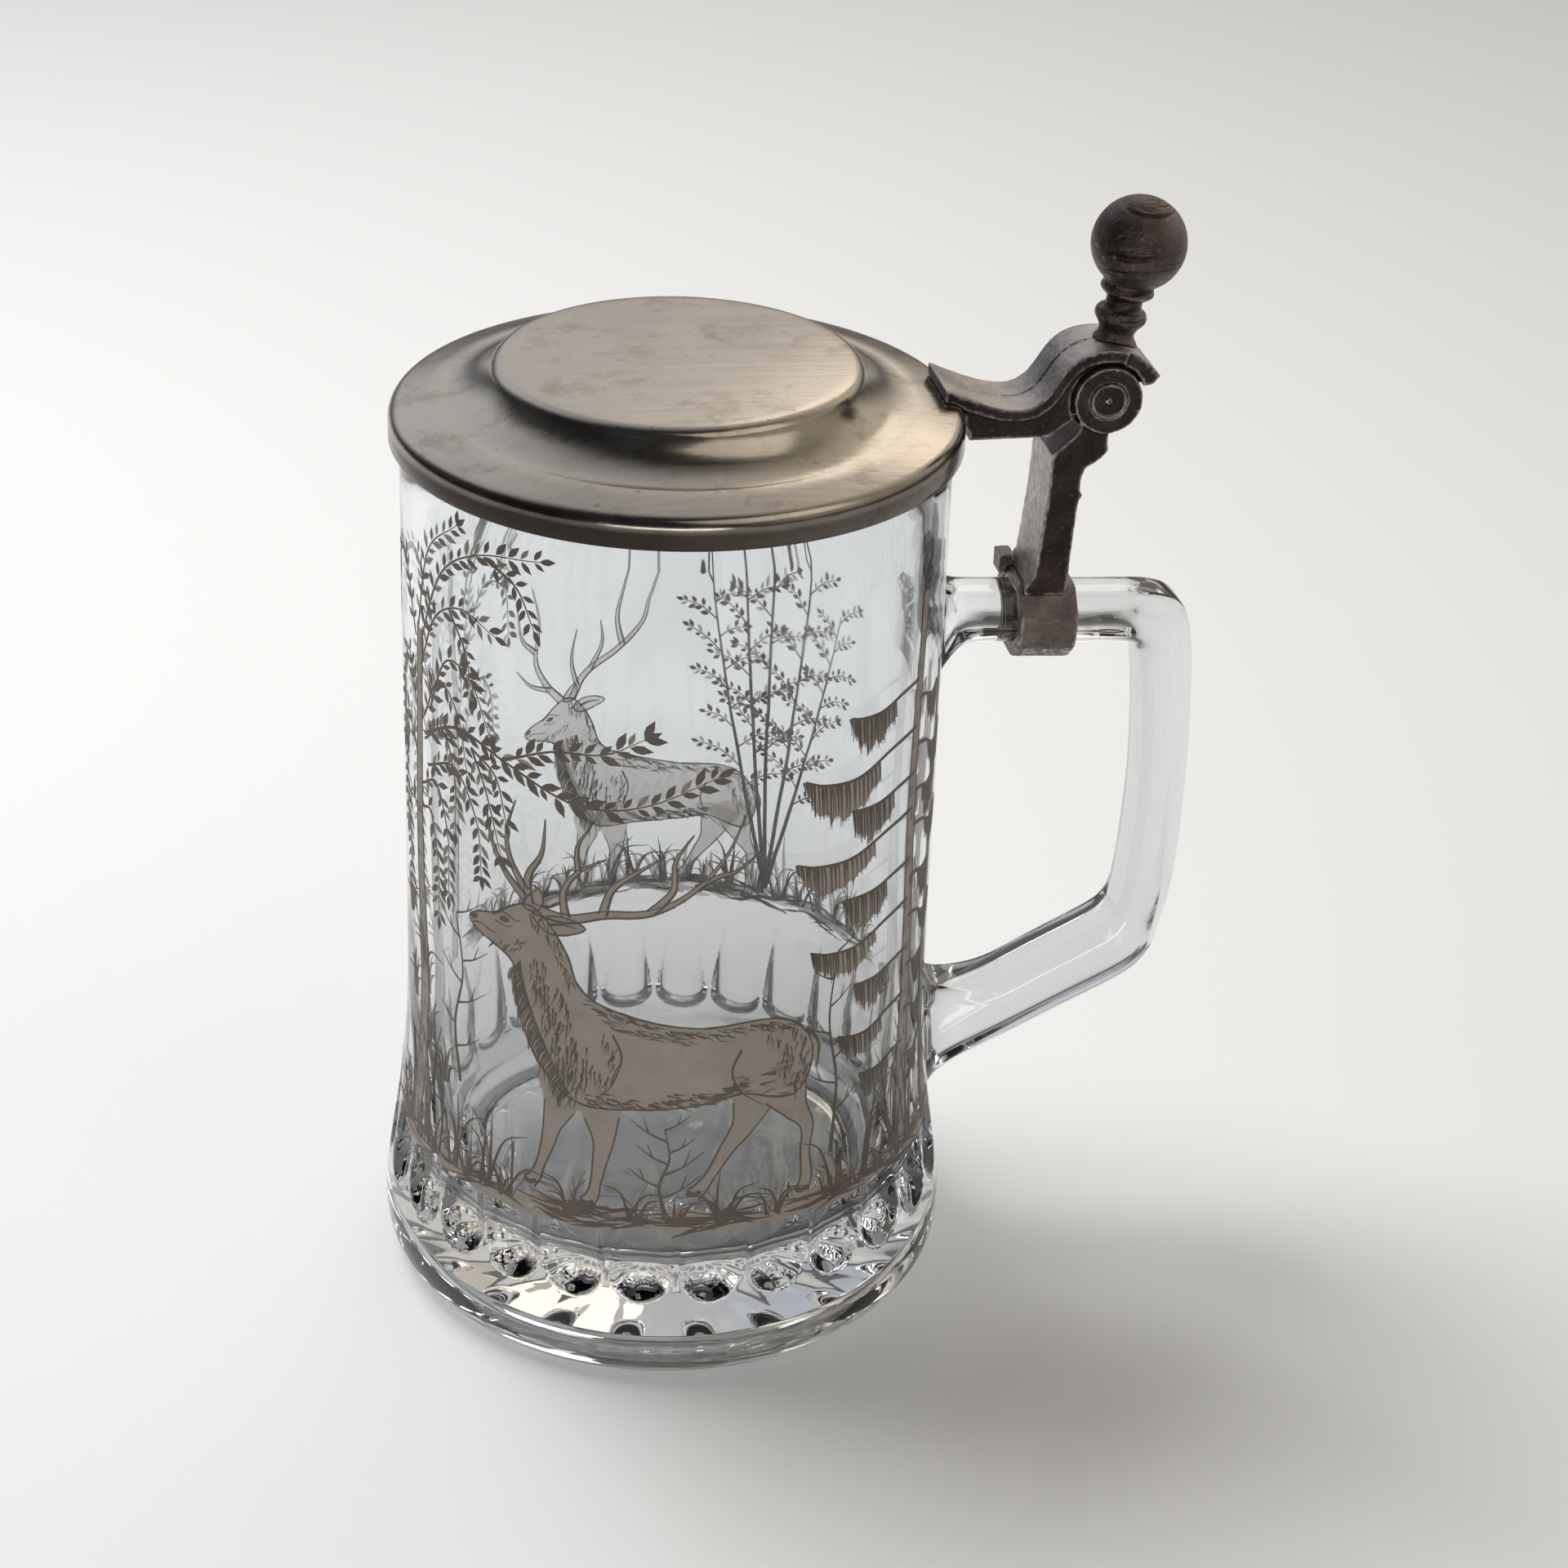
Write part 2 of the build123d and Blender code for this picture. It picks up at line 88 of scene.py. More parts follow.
def spline_point(p0, p1, p2, p3, t):
    """Point on the Catmull-Rom curve between p1 and p2."""
    return 0.5 * (2 * p1 + (p2 - p0) * t + (2 * p0 - 5 * p1 + 4 * p2 - p3) * t * t
                  + (3 * p1 - p0 - 3 * p2 + p3) * t ** 3)


def curve_through(points, steps):
    """Smooth open curve through points, with steps per span."""
    pts = [Vector(p) for p in points]
    pts = [pts[0] * 2 - pts[1]] + pts + [pts[-1] * 2 - pts[-2]]
    out = []
    for i in range(1, len(pts) - 2):
        out += [spline_point(*pts[i - 1:i + 3], k / steps) for k in range(steps)]
    out.append(pts[-2])
    return out


def apply_modifiers(obj):
    """Bakes an object's modifiers into its mesh."""
    depsgraph = bpy.context.evaluated_depsgraph_get()
    mesh = bpy.data.meshes.new_from_object(obj.evaluated_get(depsgraph), depsgraph=depsgraph)
    obj.modifiers.clear()
    obj.data = mesh


# ---------------------------------------------------------------- node trees
class Nodes:
    """Short way to build a node tree on one set of coordinates."""

    def __init__(self, tree, coords="Object"):
        self.tree = tree
        self.coords = self.new("ShaderNodeTexCoord").outputs[coords]

    def new(self, kind, inputs=None, **settings):
        """Adds a node, with its settings and then its inputs."""
        node = self.tree.nodes.new(kind)
        for key, value in settings.items():
            setattr(node, key, value)
        for key, value in (inputs or {}).items():
            self.put(node.inputs[key], value)
        return node

    def put(self, socket, value):
        """Links another node's output to a socket, or sets a plain value on it."""
        if isinstance(value, bpy.types.NodeSocket):
            self.tree.links.new(value, socket)
        else:
            socket.default_value = value

    def mapped(self, scale, rotation=(0, 0, 0)):
        return self.new("ShaderNodeMapping", {
            "Vector": self.coords, "Scale": scale, "Rotation": rotation}).outputs[0]

    def axes(self, vector=None):
        return self.new("ShaderNodeSeparateXYZ", {"Vector": vector or self.coords}).outputs

    def noise(self, scale, detail=4.0, rough=0.55, distort=0.0, vector=None):
        return self.new("ShaderNodeTexNoise", {
            "Vector": vector or self.coords, "Scale": scale, "Detail": detail, "Roughness": rough,
            "Distortion": distort}).outputs["Fac"]

    def ramp(self, fac, stops):
        """Colour ramp with (place, colour) stops."""
        node = self.new("ShaderNodeValToRGB", {"Fac": fac})
        ramp = node.color_ramp
        ramp.elements[0].position, ramp.elements[0].color = stops[0]
        ramp.elements[1].position, ramp.elements[1].color = stops[-1]
        for place, colour in stops[1:-1]:
            ramp.elements.new(place).color = colour
        return node.outputs["Color"]

    def grey_ramp(self, fac, low, high, from_=0.3, to=0.7, kind="LINEAR"):
        """Number that goes from low to high while fac goes from from_ to to."""
        return self.new("ShaderNodeMapRange", {
            "Value": fac, "From Min": from_, "From Max": to, "To Min": low, "To Max": high},
            interpolation_type=kind).outputs["Result"]

    def mix(self, fac, a, b, blend="MIX"):
        node = self.new("ShaderNodeMix", data_type="RGBA", blend_type=blend)
        for key, value in (("Factor", fac), ("A", a), ("B", b)):
            self.put(node.inputs[key], value)
        return node.outputs["Result"]

    def mix_shader(self, fac, a, b):
        return self.new("ShaderNodeMixShader", {0: fac, 1: a, 2: b}).outputs[0]

    def maths(self, operation, a, b):
        return self.new("ShaderNodeMath", {0: a, 1: b}, operation=operation).outputs[0]

    def times(self, a, b):
        return self.maths("MULTIPLY", a, b)

    def bump(self, height, strength, distance, under=None):
        node = self.new("ShaderNodeBump", {"Height": height, "Strength": strength, "Distance": distance})
        if under is not None:
            self.put(node.inputs["Normal"], under)
        return node.outputs["Normal"]


class Surface(Nodes):
    """Node tree of a new material, built round its one Principled shader."""

    def __init__(self, name):
        self.mat = bpy.data.materials.new(name)
        self.mat.use_nodes = True
        super().__init__(self.mat.node_tree)
        self.shader = self.tree.nodes["Principled BSDF"]

    def set(self, **values):
        """Sets the Principled shader's inputs by name, with _ for each space."""
        for key, value in values.items():
            self.put(self.shader.inputs[key.replace("_", " ")], value)


# ---------------------------------------------------------------- camera, floor and light, in metres
CAMERA_PLACE = (-0.08906, -0.5051, 0.35553)
CAMERA_AIM = (0.0178, -0.0031, 0.0832)
CAMERA_ROLL = 0.0362  # in radians
LENS, SENSOR = 83.9, 36.0  # in mm
FLOOR_REACH = 2500  # in mm
FLOOR_GREY = (0.80, 0.80, 0.80, 1)
BACKDROP_GREY = (0.62, 0.62, 0.61, 1)
COOL_ROOM = (0.86, 0.91, 1.0, 1)
WARM_ROOM = (1.0, 0.92, 0.80, 1)
ROOM_GLOW = 0.02  # strength of the room's darkest parts
KEY_LIGHT = "key_light"
LAMPS = [  # name, place, aim, size, power in watts and colour
    (KEY_LIGHT, (-0.36, 0.36, 0.92), (0, 0, 0.05), (0.55, 0.55), 9.6, (1.0, 0.995, 0.985)),
    ("window_light", (0.60, 1.30, 0.94), (0, 0, 0.15), (0.6, 0.4), 0.95, (1.0, 0.90, 0.76)),
    ("top_card", (0.47, -0.55, 1.10), (0, 0, 0.10), (1.05, 0.7), 1.9, (1.0, 0.94, 0.85)),
    ("low_fill", (-0.25, -1.10, 0.13), (0, 0, 0.08), (0.9, 0.2), 3.2, (1.0, 1.0, 1.0)),
]


def point_at(obj, place, aim, roll=0.0):
    """Puts a camera or lamp at a place, looking at its aim."""
    obj.location = place
    obj.rotation_mode = "QUATERNION"
    turn = (Vector(aim) - Vector(place)).to_track_quat("-Z", "Y")
    obj.rotation_quaternion = turn @ Quaternion((0, 0, 1), roll) if roll else turn


def add_camera():
    """Camera above the mug's front left, as a person looks down at it on a table."""
    data = bpy.data.cameras.new("camera")
    data.lens = LENS
    data.sensor_width = SENSOR
    camera = link(bpy.data.objects.new("camera", data))
    point_at(camera, CAMERA_PLACE, CAMERA_AIM, CAMERA_ROLL)
    bpy.context.scene.camera = camera


def add_area(name, place, aim, size, power, colour):
    """Soft box lamp that points at a place."""
    data = bpy.data.lights.new(name, "AREA")
    data.shape = "RECTANGLE"
    data.size, data.size_y = size
    data.energy = power
    data.color = colour
    lamp = link(bpy.data.objects.new(name, data))
    point_at(lamp, place, aim)
    lamp.visible_glossy = name != KEY_LIGHT


def add_room():
    """Room light: bright and bluish behind and above, warm to the right, dark in front and low down.
    The camera itself sees a plain pale backdrop instead."""
    world = bpy.data.worlds.new("room")
    bpy.context.scene.world = world
    world.use_nodes = True
    n = Nodes(world.node_tree, "Generated")
    axes = n.axes()

    def span(axis, from_, to, low, high):
        return n.grey_ramp(axes[axis], low, high, from_, to, "SMOOTHSTEP")

    behind = n.times(span("Y", -0.15, 0.55, 0.02, 0.86), span("X", -0.78, -0.45, 0.06, 1.0))
    level = n.maths("MAXIMUM", behind, span("X", 0.15, 0.70, 0.0, 0.42))
    level = n.times(level, span("Z", 0.02, 0.34, 0.12, 1.0))
    level = n.times(level, span("Z", 0.45, 0.95, 1.0, 0.60))
    room = n.tree.nodes["Background"]
    n.put(room.inputs["Color"], n.mix(span("X", -0.2, 0.5, 0.0, 1.0), COOL_ROOM, WARM_ROOM))
    n.put(room.inputs["Strength"], n.maths("ADD", level, ROOM_GLOW))
    backdrop = n.new("ShaderNodeBackground", {"Color": BACKDROP_GREY})
    seen = n.new("ShaderNodeLightPath").outputs["Is Camera Ray"]
    both = n.mix_shader(seen, room.outputs[0], backdrop.outputs[0])
    n.put(n.tree.nodes["World Output"].inputs["Surface"], both)


def add_stage():
    """Pale floor, room light and the soft boxes. The key light makes no reflections."""
    corners = [(-1, -1), (1, -1), (1, 1), (-1, 1)]
    floor = mesh_object("floor", [(x * FLOOR_REACH, y * FLOOR_REACH, 0) for x, y in corners],
                        [(0, 1, 2, 3)], smooth=False)
    n = Surface("floor")
    n.set(Base_Color=FLOOR_GREY, Roughness=0.6, Specular_IOR_Level=0.2)
    floor.data.materials.append(n.mat)
    add_room()
    for lamp in LAMPS:
        add_area(*lamp)
    bpy.context.scene.view_settings.view_transform = "Standard"


# ---------------------------------------------------------------- materials
def glass_material():
    """Clear pressed glass with a faint grey-green body, ripples from the mould and handling marks.
    The foot, the lower wall and the handle are greyed with painted shade.
    """
    n = Surface("clear_glass")
    ripples = n.noise(38.0, 2.0)
    scratches = n.noise(2200.0, 3.0, vector=n.mapped((1, 1, 0.12), (0.3, 0.2, 0.1)))
    smears = n.noise(26.0, 5.0, 0.6)
    axes = n.axes()
    # Masks for painted shade: the foot and lower wall, and the handle, get a darker grey glass colour.
    foot = n.times(n.grey_ramp(axes["Z"], 1.0, 0.0, 0.014, 0.078),
                   n.grey_ramp(axes["X"], 1.0, 0.0, 0.044, 0.050))
    handle = n.grey_ramp(axes["X"], 0.0, 0.32, 0.044, 0.052)
    thin = n.ramp(smears, [(0.3, (0.84, 0.865, 0.880, 1)), (0.7, (0.89, 0.91, 0.925, 1))])
    # The grey mixed in by these masks is painted shade.
    n.set(Base_Color=n.mix(n.maths("MAXIMUM", foot, handle), thin, (0.60, 0.60, 0.59, 1)),
          Roughness=n.grey_ramp(n.times(smears, scratches), 0.0, 0.05, 0.18, 0.42),
          IOR=1.5, Transmission_Weight=1.0,
          Normal=n.bump(ripples, 0.05, 0.002))
    lamps_through = n.new("ShaderNodeBsdfTransparent", {"Color": (0.62, 0.63, 0.64, 1)})
    shadow = n.new("ShaderNodeLightPath").outputs["Is Shadow Ray"]
    either = n.mix_shader(shadow, n.shader.outputs[0], lamps_through.outputs[0])
    n.put(n.tree.nodes["Material Output"].inputs["Surface"], either)
    return n.mat


def pewter_material():
    """Satin lid pewter: warm grey, finely brushed, with faint stains, and a skirt darkened by painted shade
    that lightens towards the right.
    """
    n = Surface("satin_pewter")
    blotches = n.noise(30.0, 5.0, 0.6, 0.4)
    stains = n.noise(120.0, 5.0, 0.7)
    brushed = n.noise(900.0, 3.0, vector=n.mapped((0.03, 1.0, 1.0), (0, 0, 0.05)))
    spots = n.noise(420.0, 2.0)
    base = n.ramp(blotches, [(0.30, (0.40, 0.36, 0.305, 1)), (0.5, (0.48, 0.43, 0.365, 1)),
                             (0.72, (0.54, 0.48, 0.41, 1))])
    dark = n.ramp(stains, [(0.34, (0.70, 0.66, 0.61, 1)), (0.46, (1, 1, 1, 1))])
    pits = n.ramp(spots, [(0.24, (0.45, 0.40, 0.36, 1)), (0.29, (1, 1, 1, 1))])
    streaks = n.ramp(brushed, [(0.35, (0.88, 0.88, 0.88, 1)), (0.65, (1, 1, 1, 1))])
    colour = base
    for strength, layer in ((0.8, dark), (0.6, pits), (0.7, streaks)):
        colour = n.mix(strength, colour, layer, "MULTIPLY")
    axes = n.axes()
    # The skirt below the shoulder is painted near-black as painted shade, lighter towards the right.
    skirt = n.grey_ramp(n.maths("ADD", axes["Z"], n.times(blotches, 0.002)), 1.0, 0.0, 0.1463, 0.1486)
    skirt_painted_shade = n.times(skirt, n.grey_ramp(axes["X"], 0.97, 0.70, -0.01, 0.035))
    polish = n.maths("ADD", n.times(brushed, 0.5), n.times(blotches, 0.5))
    n.set(Base_Color=n.mix(skirt_painted_shade, colour, (0.030, 0.023, 0.021, 1)), Metallic=1.0,
          Roughness=n.grey_ramp(polish, 0.14, 0.28),
          Normal=n.bump(brushed, 0.10, 0.0002, n.bump(stains, 0.08, 0.0004)))
    return n.mat


def shade(colour, factor=1.0):
    """Opaque colour socket value from a colour, made darker or lighter."""
    return tuple(c * factor for c in colour) + (1,)


def cast_material(name, dark, light, painted_top_light, cracks=0.0, painted_left_light=0.0, painted_upper_right_light=0.0):
    """Cast pewter gone brown-black, with a rough cast skin. Its edges are rubbed light as real wear;
    upward faces, faces to the left and faces at the upper right are lightened as painted highlights and
    reflections."""
    n = Surface(name)
    cast = n.noise(700.0, 6.0, 0.65)
    patches = n.noise(150.0, 5.0, 0.62, 0.3)
    pits = n.noise(1900.0, 3.0, 0.6)
    lines = n.noise(520.0, 5.0, 0.6, 0.6, vector=n.mapped((0.10, 0.10, 1.0), (0.25, 0.1, 0)))
    base = n.ramp(patches, [(0.32, shade(dark, 0.55)), (0.55, shade(dark)), (0.76, shade(dark, 2.1))])
    facing = n.axes(n.new("ShaderNodeTexCoord").outputs["Normal"])
    sharpness = n.new("ShaderNodeNewGeometry").outputs["Pointiness"]
    # Painted reflection: upward faces are lightened.
    top = n.times(n.grey_ramp(facing["Z"], 0.0, painted_top_light, 0.28, 0.75),
                  n.grey_ramp(patches, 0.60, 1.0, 0.35, 0.6))
    # Painted reflection: faces to the left are lightened.
    left = n.times(n.grey_ramp(facing["X"], painted_left_light, 0.0, -0.95, -0.6),
                   n.grey_ramp(cast, 0.6, 1.0, 0.4, 0.6))
    edge = n.times(n.grey_ramp(sharpness, 0.0, 0.85, 0.503, 0.545), n.grey_ramp(cast, 0.25, 1.0, 0.38, 0.6))
    # Painted highlight: faces at the upper right are lightened.
    upper_right_light = n.times(n.grey_ramp(facing["X"], 0.0, painted_upper_right_light, 0.05, 0.75),
                    n.grey_ramp(facing["Z"], 0.0, 1.0, -0.1, 0.55))
    # Real edge wear and the painted highlights and reflections together set where the lighter colour shows.
    wear_and_painted_light = n.maths("MAXIMUM", n.maths("MAXIMUM", top, left), n.maths("MAXIMUM", upper_right_light, edge))
    colour = n.mix(wear_and_painted_light, base, shade(light))
    if cracks:
        dirt = n.ramp(lines, [(0.36, (0.15, 0.13, 0.12, 1)), (0.41, (1, 1, 1, 1))])
        colour = n.mix(cracks, colour, dirt, "MULTIPLY")
    under = n.bump(n.grey_ramp(lines, 0.0, 1.0, 0.34, 0.46), cracks, 0.0005, n.bump(pits, 0.15, 0.0001))
    n.set(Base_Color=colour, Metallic=1.0, Roughness=n.grey_ramp(patches, 0.26, 0.46),
          Normal=n.bump(cast, 0.75, 0.0006, under))
    return n.mat


def print_material(name, low, high, opacity=1.0):
    """Fired grey-brown print that wanders between two colours, so it looks thin in places."""
    n = Surface(name)
    wander = n.noise(160.0, 5.0, 0.7)
    n.set(Base_Color=n.ramp(wander, [(0.3, low), (0.7, high)]), Roughness=0.55,
          Alpha=opacity, Specular_IOR_Level=0.5, Normal=n.bump(wander, 0.1, 0.0001))
    return n.mat


# ---------------------------------------------------------------- glass body
def turned(name, profile, around, press=None, upwards=False):
    """Closed turned mesh from a profile that starts and ends on the axis. Its rows are (radius, height), or
    more where press works out each point's radius and height from its row and angle. The profile runs down
    the outside of the piece, unless upwards is set."""
    points, faces = [(0, 0, profile[0][1])], []
    rows = profile[1:-1]
    for row in rows:
        for k in range(around):
            angle = k / around * TAU
            r, z = press(*row, angle) if press else row
            points.append((r * math.cos(angle), r * math.sin(angle), z))
    points.append((0, 0, profile[-1][1]))
    last = 1 + (len(rows) - 1) * around
    for k in range(around):
        after = (k + 1) % around
        faces.append((0, 1 + k, 1 + after))
        for a in range(1, last, around):
            b = a + around
            faces.append((a + k, b + k, b + after, a + after))
        faces.append((last + after, last + k, len(points) - 1))
    if upwards:
        faces = [(f[0],) + f[:0:-1] for f in faces]
    return mesh_object(name, points, faces)


def cut_by_flute(radius, z, angle):
    """Radius of the wall after the nearest round-ended flute has been pressed into it."""
    low_r, low_z = FLUTE_LOW
    high_r, high_z = FLUTE_HIGH
    if z >= low_z:
        axis_r = low_r + (high_r - low_r) * (z - low_z) / (high_z - low_z)
        reach = FLUTE_R ** 2
    else:
        axis_r = low_r
        reach = FLUTE_R ** 2 - (z - low_z) ** 2
    pitch = TAU / FLUTES
    off = (angle / pitch) % 1.0 - 0.5
    side = axis_r * math.sin(off * pitch)
    if reach <= side * side:
        return radius
    return min(radius, axis_r * math.cos(off * pitch) - math.sqrt(reach - side * side))


def pressed_star(radius, z, angle):
    """Height of the recess in the underside, with the star's soft grooves pressed into it."""
    if not STAR_FROM < radius < STAR_TO:
        return z
    pitch = TAU / STAR_RAYS
    off = (angle / pitch + 0.5) % 1.0 - 0.5
    side = radius * math.sin(off * pitch)
    if abs(side) >= STAR_R:
        return z
    return z + STAR_DEPTH * math.cos(side / STAR_R * math.pi / 2)


def quarter(steps):
    """Angles from 0 to 90 degrees in equal steps."""
    return [k / steps * math.pi / 2 for k in range(steps + 1)]


def body_profile():
    """Rows of (radius, height, kind) from the axis below, round the outside and down inside to the floor."""
    star_radii = (4, 8, STAR_FROM - STAR_EDGE, STAR_FROM + STAR_EDGE, 18, 23, 28,
                  STAR_TO - STAR_EDGE, STAR_TO + STAR_EDGE, RECESS_R)
    under = [(r, RECESS_DEPTH, "star") for r in star_radii]
    ring = RECESS_SLOPE + [(REST_RING_INNER, 0), (REST_RING_MIDDLE, 0)]
    foot = []
    height = -FOOT_ROW
    curve = curve_through(FOOT_PROFILE, 60)
    for r, z in curve:
        step = FLUTE_ROW if FLUTE_BAND[0] < z < FLUTE_BAND[1] else FOOT_ROW
        if z - height >= step or z == curve[-1][1]:
            foot.append((r, z, "flute"))
            height = z
    inner = BODY_R - WALL
    rim_z = MUG_HEIGHT - RIM_ROUND
    corner_z = FLOOR_Z + FLOOR_CORNER_R
    wall = [(BODY_R, z) for z in range(66, 141, 5)]
    wall += [(BODY_R - RIM_ROUND + RIM_ROUND * math.cos(a), rim_z + RIM_ROUND * math.sin(a))
             for a in quarter(6)]
    wall += [(inner + RIM_ROUND - RIM_ROUND * math.sin(a), rim_z + RIM_ROUND * math.cos(a))
             for a in quarter(6)]
    wall += [(inner, z) for z in range(138, int(corner_z) + 1, -6)]
    wall += [(inner - FLOOR_CORNER_R * (1 - math.cos(a)), corner_z - FLOOR_CORNER_R * math.sin(a))
             for a in quarter(10)]
    wall += [(r, FLOOR_Z) for r in (24, 18, 12, 6, 3)]
    return under + [(r, z, "plain") for r, z in ring] + foot + [(r, z, "plain") for r, z in wall]


def glass_body():
    """The pressed body as a turned mesh, with flutes and star worked into it."""
    def press(radius, z, kind, angle):
        if kind == "flute":
            return cut_by_flute(radius, z, angle), z
        return radius, pressed_star(radius, z, angle) if kind == "star" else z

    profile = [(0, RECESS_DEPTH)] + body_profile() + [(0, FLOOR_Z)]
    return turned("glass_body", profile, FLUTES * FLUTE_FACETS, press, upwards=True)


HANDLE_STATIONS = [  # outer point and inner point in the XZ plane, from the upper root to the lower one
    ((40.2, 116.9), (40.2, 100.2)), ((42.6, 116.0), (43.0, 103.9)), ((44.3, 115.4), (45.2, 106.1)),
    ((46.5, 115.07), (48.4, 106.76)), ((55.0, 114.57), (55.4, 106.34)), ((65.0, 113.97), (65.0, 105.77)),
    ((76.6, 113.28), (71.5, 105.39)), ((81.2, 111.2), (73.85, 104.45)), ((83.15, 106.4), (74.75, 102.2)),
    ((84.2, 96.0), (75.8, 94.0)), ((84.68, 79.0), (76.48, 79.0)), ((84.05, 62.0), (75.75, 64.0)),
    ((82.0, 51.0), (75.0, 58.0)), ((80.3, 46.7), (73.8, 55.4)), ((76.3, 43.0), (71.0, 53.2)),
    ((66.0, 37.8), (62.5, 48.76)), ((56.0, 32.75), (54.5, 44.6)), ((48.2, 28.8), (48.5, 43.4)),
    ((44.9, 26.3), (44.2, 43.9)), ((42.9, 23.6), (41.5, 44.9)), ((40.3, 20.2), (40.0, 45.5)),
]
HANDLE_HALF = 6.2
OUTER_CHAMFER = 2.9
INNER_CHAMFER = 2.1
CORNER_SOFTNESS = 0.9
ROOT_X, ROOT_REACH, ROOT_FLARE = 40.5, 5.0, 1.4  # the roots widen by the flare as they near ROOT_X


def soft_octagon(depth, half):
    """Section of the handle as (side, depth) points, its eight corners fire-polished."""
    flat_out = half - OUTER_CHAMFER
    flat_in = half - INNER_CHAMFER
    right = [(flat_out, 0.0), (half, OUTER_CHAMFER), (half, depth - INNER_CHAMFER), (flat_in, depth)]
    ring = right + [(-y, t) for y, t in reversed(right)]
    out = []
    for i, corner in enumerate(ring):
        here, before, after = Vector(corner), Vector(ring[i - 1]), Vector(ring[(i + 1) % 8])
        a = here + (before - here).normalized() * CORNER_SOFTNESS
        b = here + (after - here).normalized() * CORNER_SOFTNESS
        out += [a, (a + b) / 4 + here / 2, b]
    return out


def glass_handle():
    """The handle as a closed lofted tube whose roots end inside the wall."""
    outer = curve_through([s[0] for s in HANDLE_STATIONS], 6)
    inner = curve_through([s[1] for s in HANDLE_STATIONS], 6)
    points, faces = [], []
    for o, i in zip(outer, inner):
        depth = (i - o).length
        along = (i - o) / depth
        nearness = max(0.0, 1 - (min(o.x, i.x) - ROOT_X) / ROOT_REACH)
        section = soft_octagon(depth, HANDLE_HALF + ROOT_FLARE * nearness ** 2)
        for y, t in section:
            p = o + along * t
            points.append((p.x, y, p.y))
    per = len(section)
    for row in range(len(outer) - 1):
        for k in range(per):
            after = (k + 1) % per
            a = row * per
            b = a + per
            faces.append((a + k, a + after, b + after, b + k))
    faces.append(tuple(reversed(range(per))))
    faces.append(tuple(range(len(points) - per, len(points))))
    obj = mesh_object("glass_handle", points, faces)
    bm = bmesh.new()
    bm.from_mesh(obj.data)
    bmesh.ops.recalc_face_normals(bm, faces=bm.faces)
    bm.to_mesh(obj.data)
    bm.free()
    return obj


def build_glass(material):
    """Body and handle joined into one watertight piece that stands for the CAD mug."""
    body = glass_body()
    handle = glass_handle()
    joined = body.modifiers.new("join", "BOOLEAN")
    joined.operation = "UNION"
    joined.solver = "MANIFOLD"
    joined.object = handle
    apply_modifiers(body)
    bpy.data.objects.remove(handle)
    body.name = "stein_glass"
    body.data.shade_smooth()
    body.data.set_sharp_from_angle(angle=math.radians(38))
    body.data.materials.clear()
    body.data.materials.append(material)
    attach(body, "mug")
    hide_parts("glass_mug")


# ---------------------------------------------------------------- lid
LID_R = 43.5
SKIRT_BOTTOM_Z = 142.8
SEAT_Z = 144.9
SKIRT_INNER_R = 42.7
PLATEAU_R = 27.6
PLATEAU_Z = 154.9
LID_TOP_Z = 155.3
PLATEAU_ROUND = 1.2
CROWN_RADII = (0, 4, 8, 12, 16, 20, 23, 25)
COVE_TOP = (28.2, 153.5)
COVE_MIDDLE = (31.1, 150.6)
COVE_BOTTOM = (36.6, 149.1)
FLANGE = [(38.5, 148.68), (40.3, 148.26), (41.9, 147.9)]
SHOULDER_MIDDLE = (43.05, 147.2)
SHOULDER_Z = 145.9
SKIRT_OUTSIDE = [(LID_R, 144.5), (LID_R, 143.1), (LID_R - 0.1, 142.9), (LID_R - 0.3, SKIRT_BOTTOM_Z)]
UNDERSIDE = [  # inside of the skirt, the seat on the rim and the underside as far as the cove
    (SKIRT_INNER_R + 0.15, SKIRT_BOTTOM_Z), (SKIRT_INNER_R, 142.95), (SKIRT_INNER_R, SEAT_Z), (36.4, SEAT_Z),
    (35.8, 147.2), (30.6, 148.9),
]
INNER_COVE_MIDDLE = (27.6, 150.4)
INNER_COVE_TOP = (26.1, 152.9)
CEILING = [(14.0, 153.1), (0, 153.3)]
LID_FACETS = 256


def arc_through(a, b, c, steps):
    """Points on the circle arc from a through b to c, without a itself."""
    ax, ay, bx, by, cx, cy = *a, *b, *c
    d = 2 * (ax * (by - cy) + bx * (cy - ay) + cx * (ay - by))
    sa, sb, sc = ax * ax + ay * ay, bx * bx + by * by, cx * cx + cy * cy
    ux = (sa * (by - cy) + sb * (cy - ay) + sc * (ay - by)) / d
    uy = (sa * (cx - bx) + sb * (ax - cx) + sc * (bx - ax)) / d
    radius = math.hypot(ax - ux, ay - uy)
    start, mid, end = (math.atan2(y - uy, x - ux) for x, y in (a, b, c))
    way = 1 if (mid - start) % TAU < (end - start) % TAU else -1
    sweep = ((end - start) * way) % TAU * way
    turns = [start + sweep * k / steps for k in range(1, steps + 1)]
    return [(ux + radius * math.cos(a), uy + radius * math.sin(a)) for a in turns]


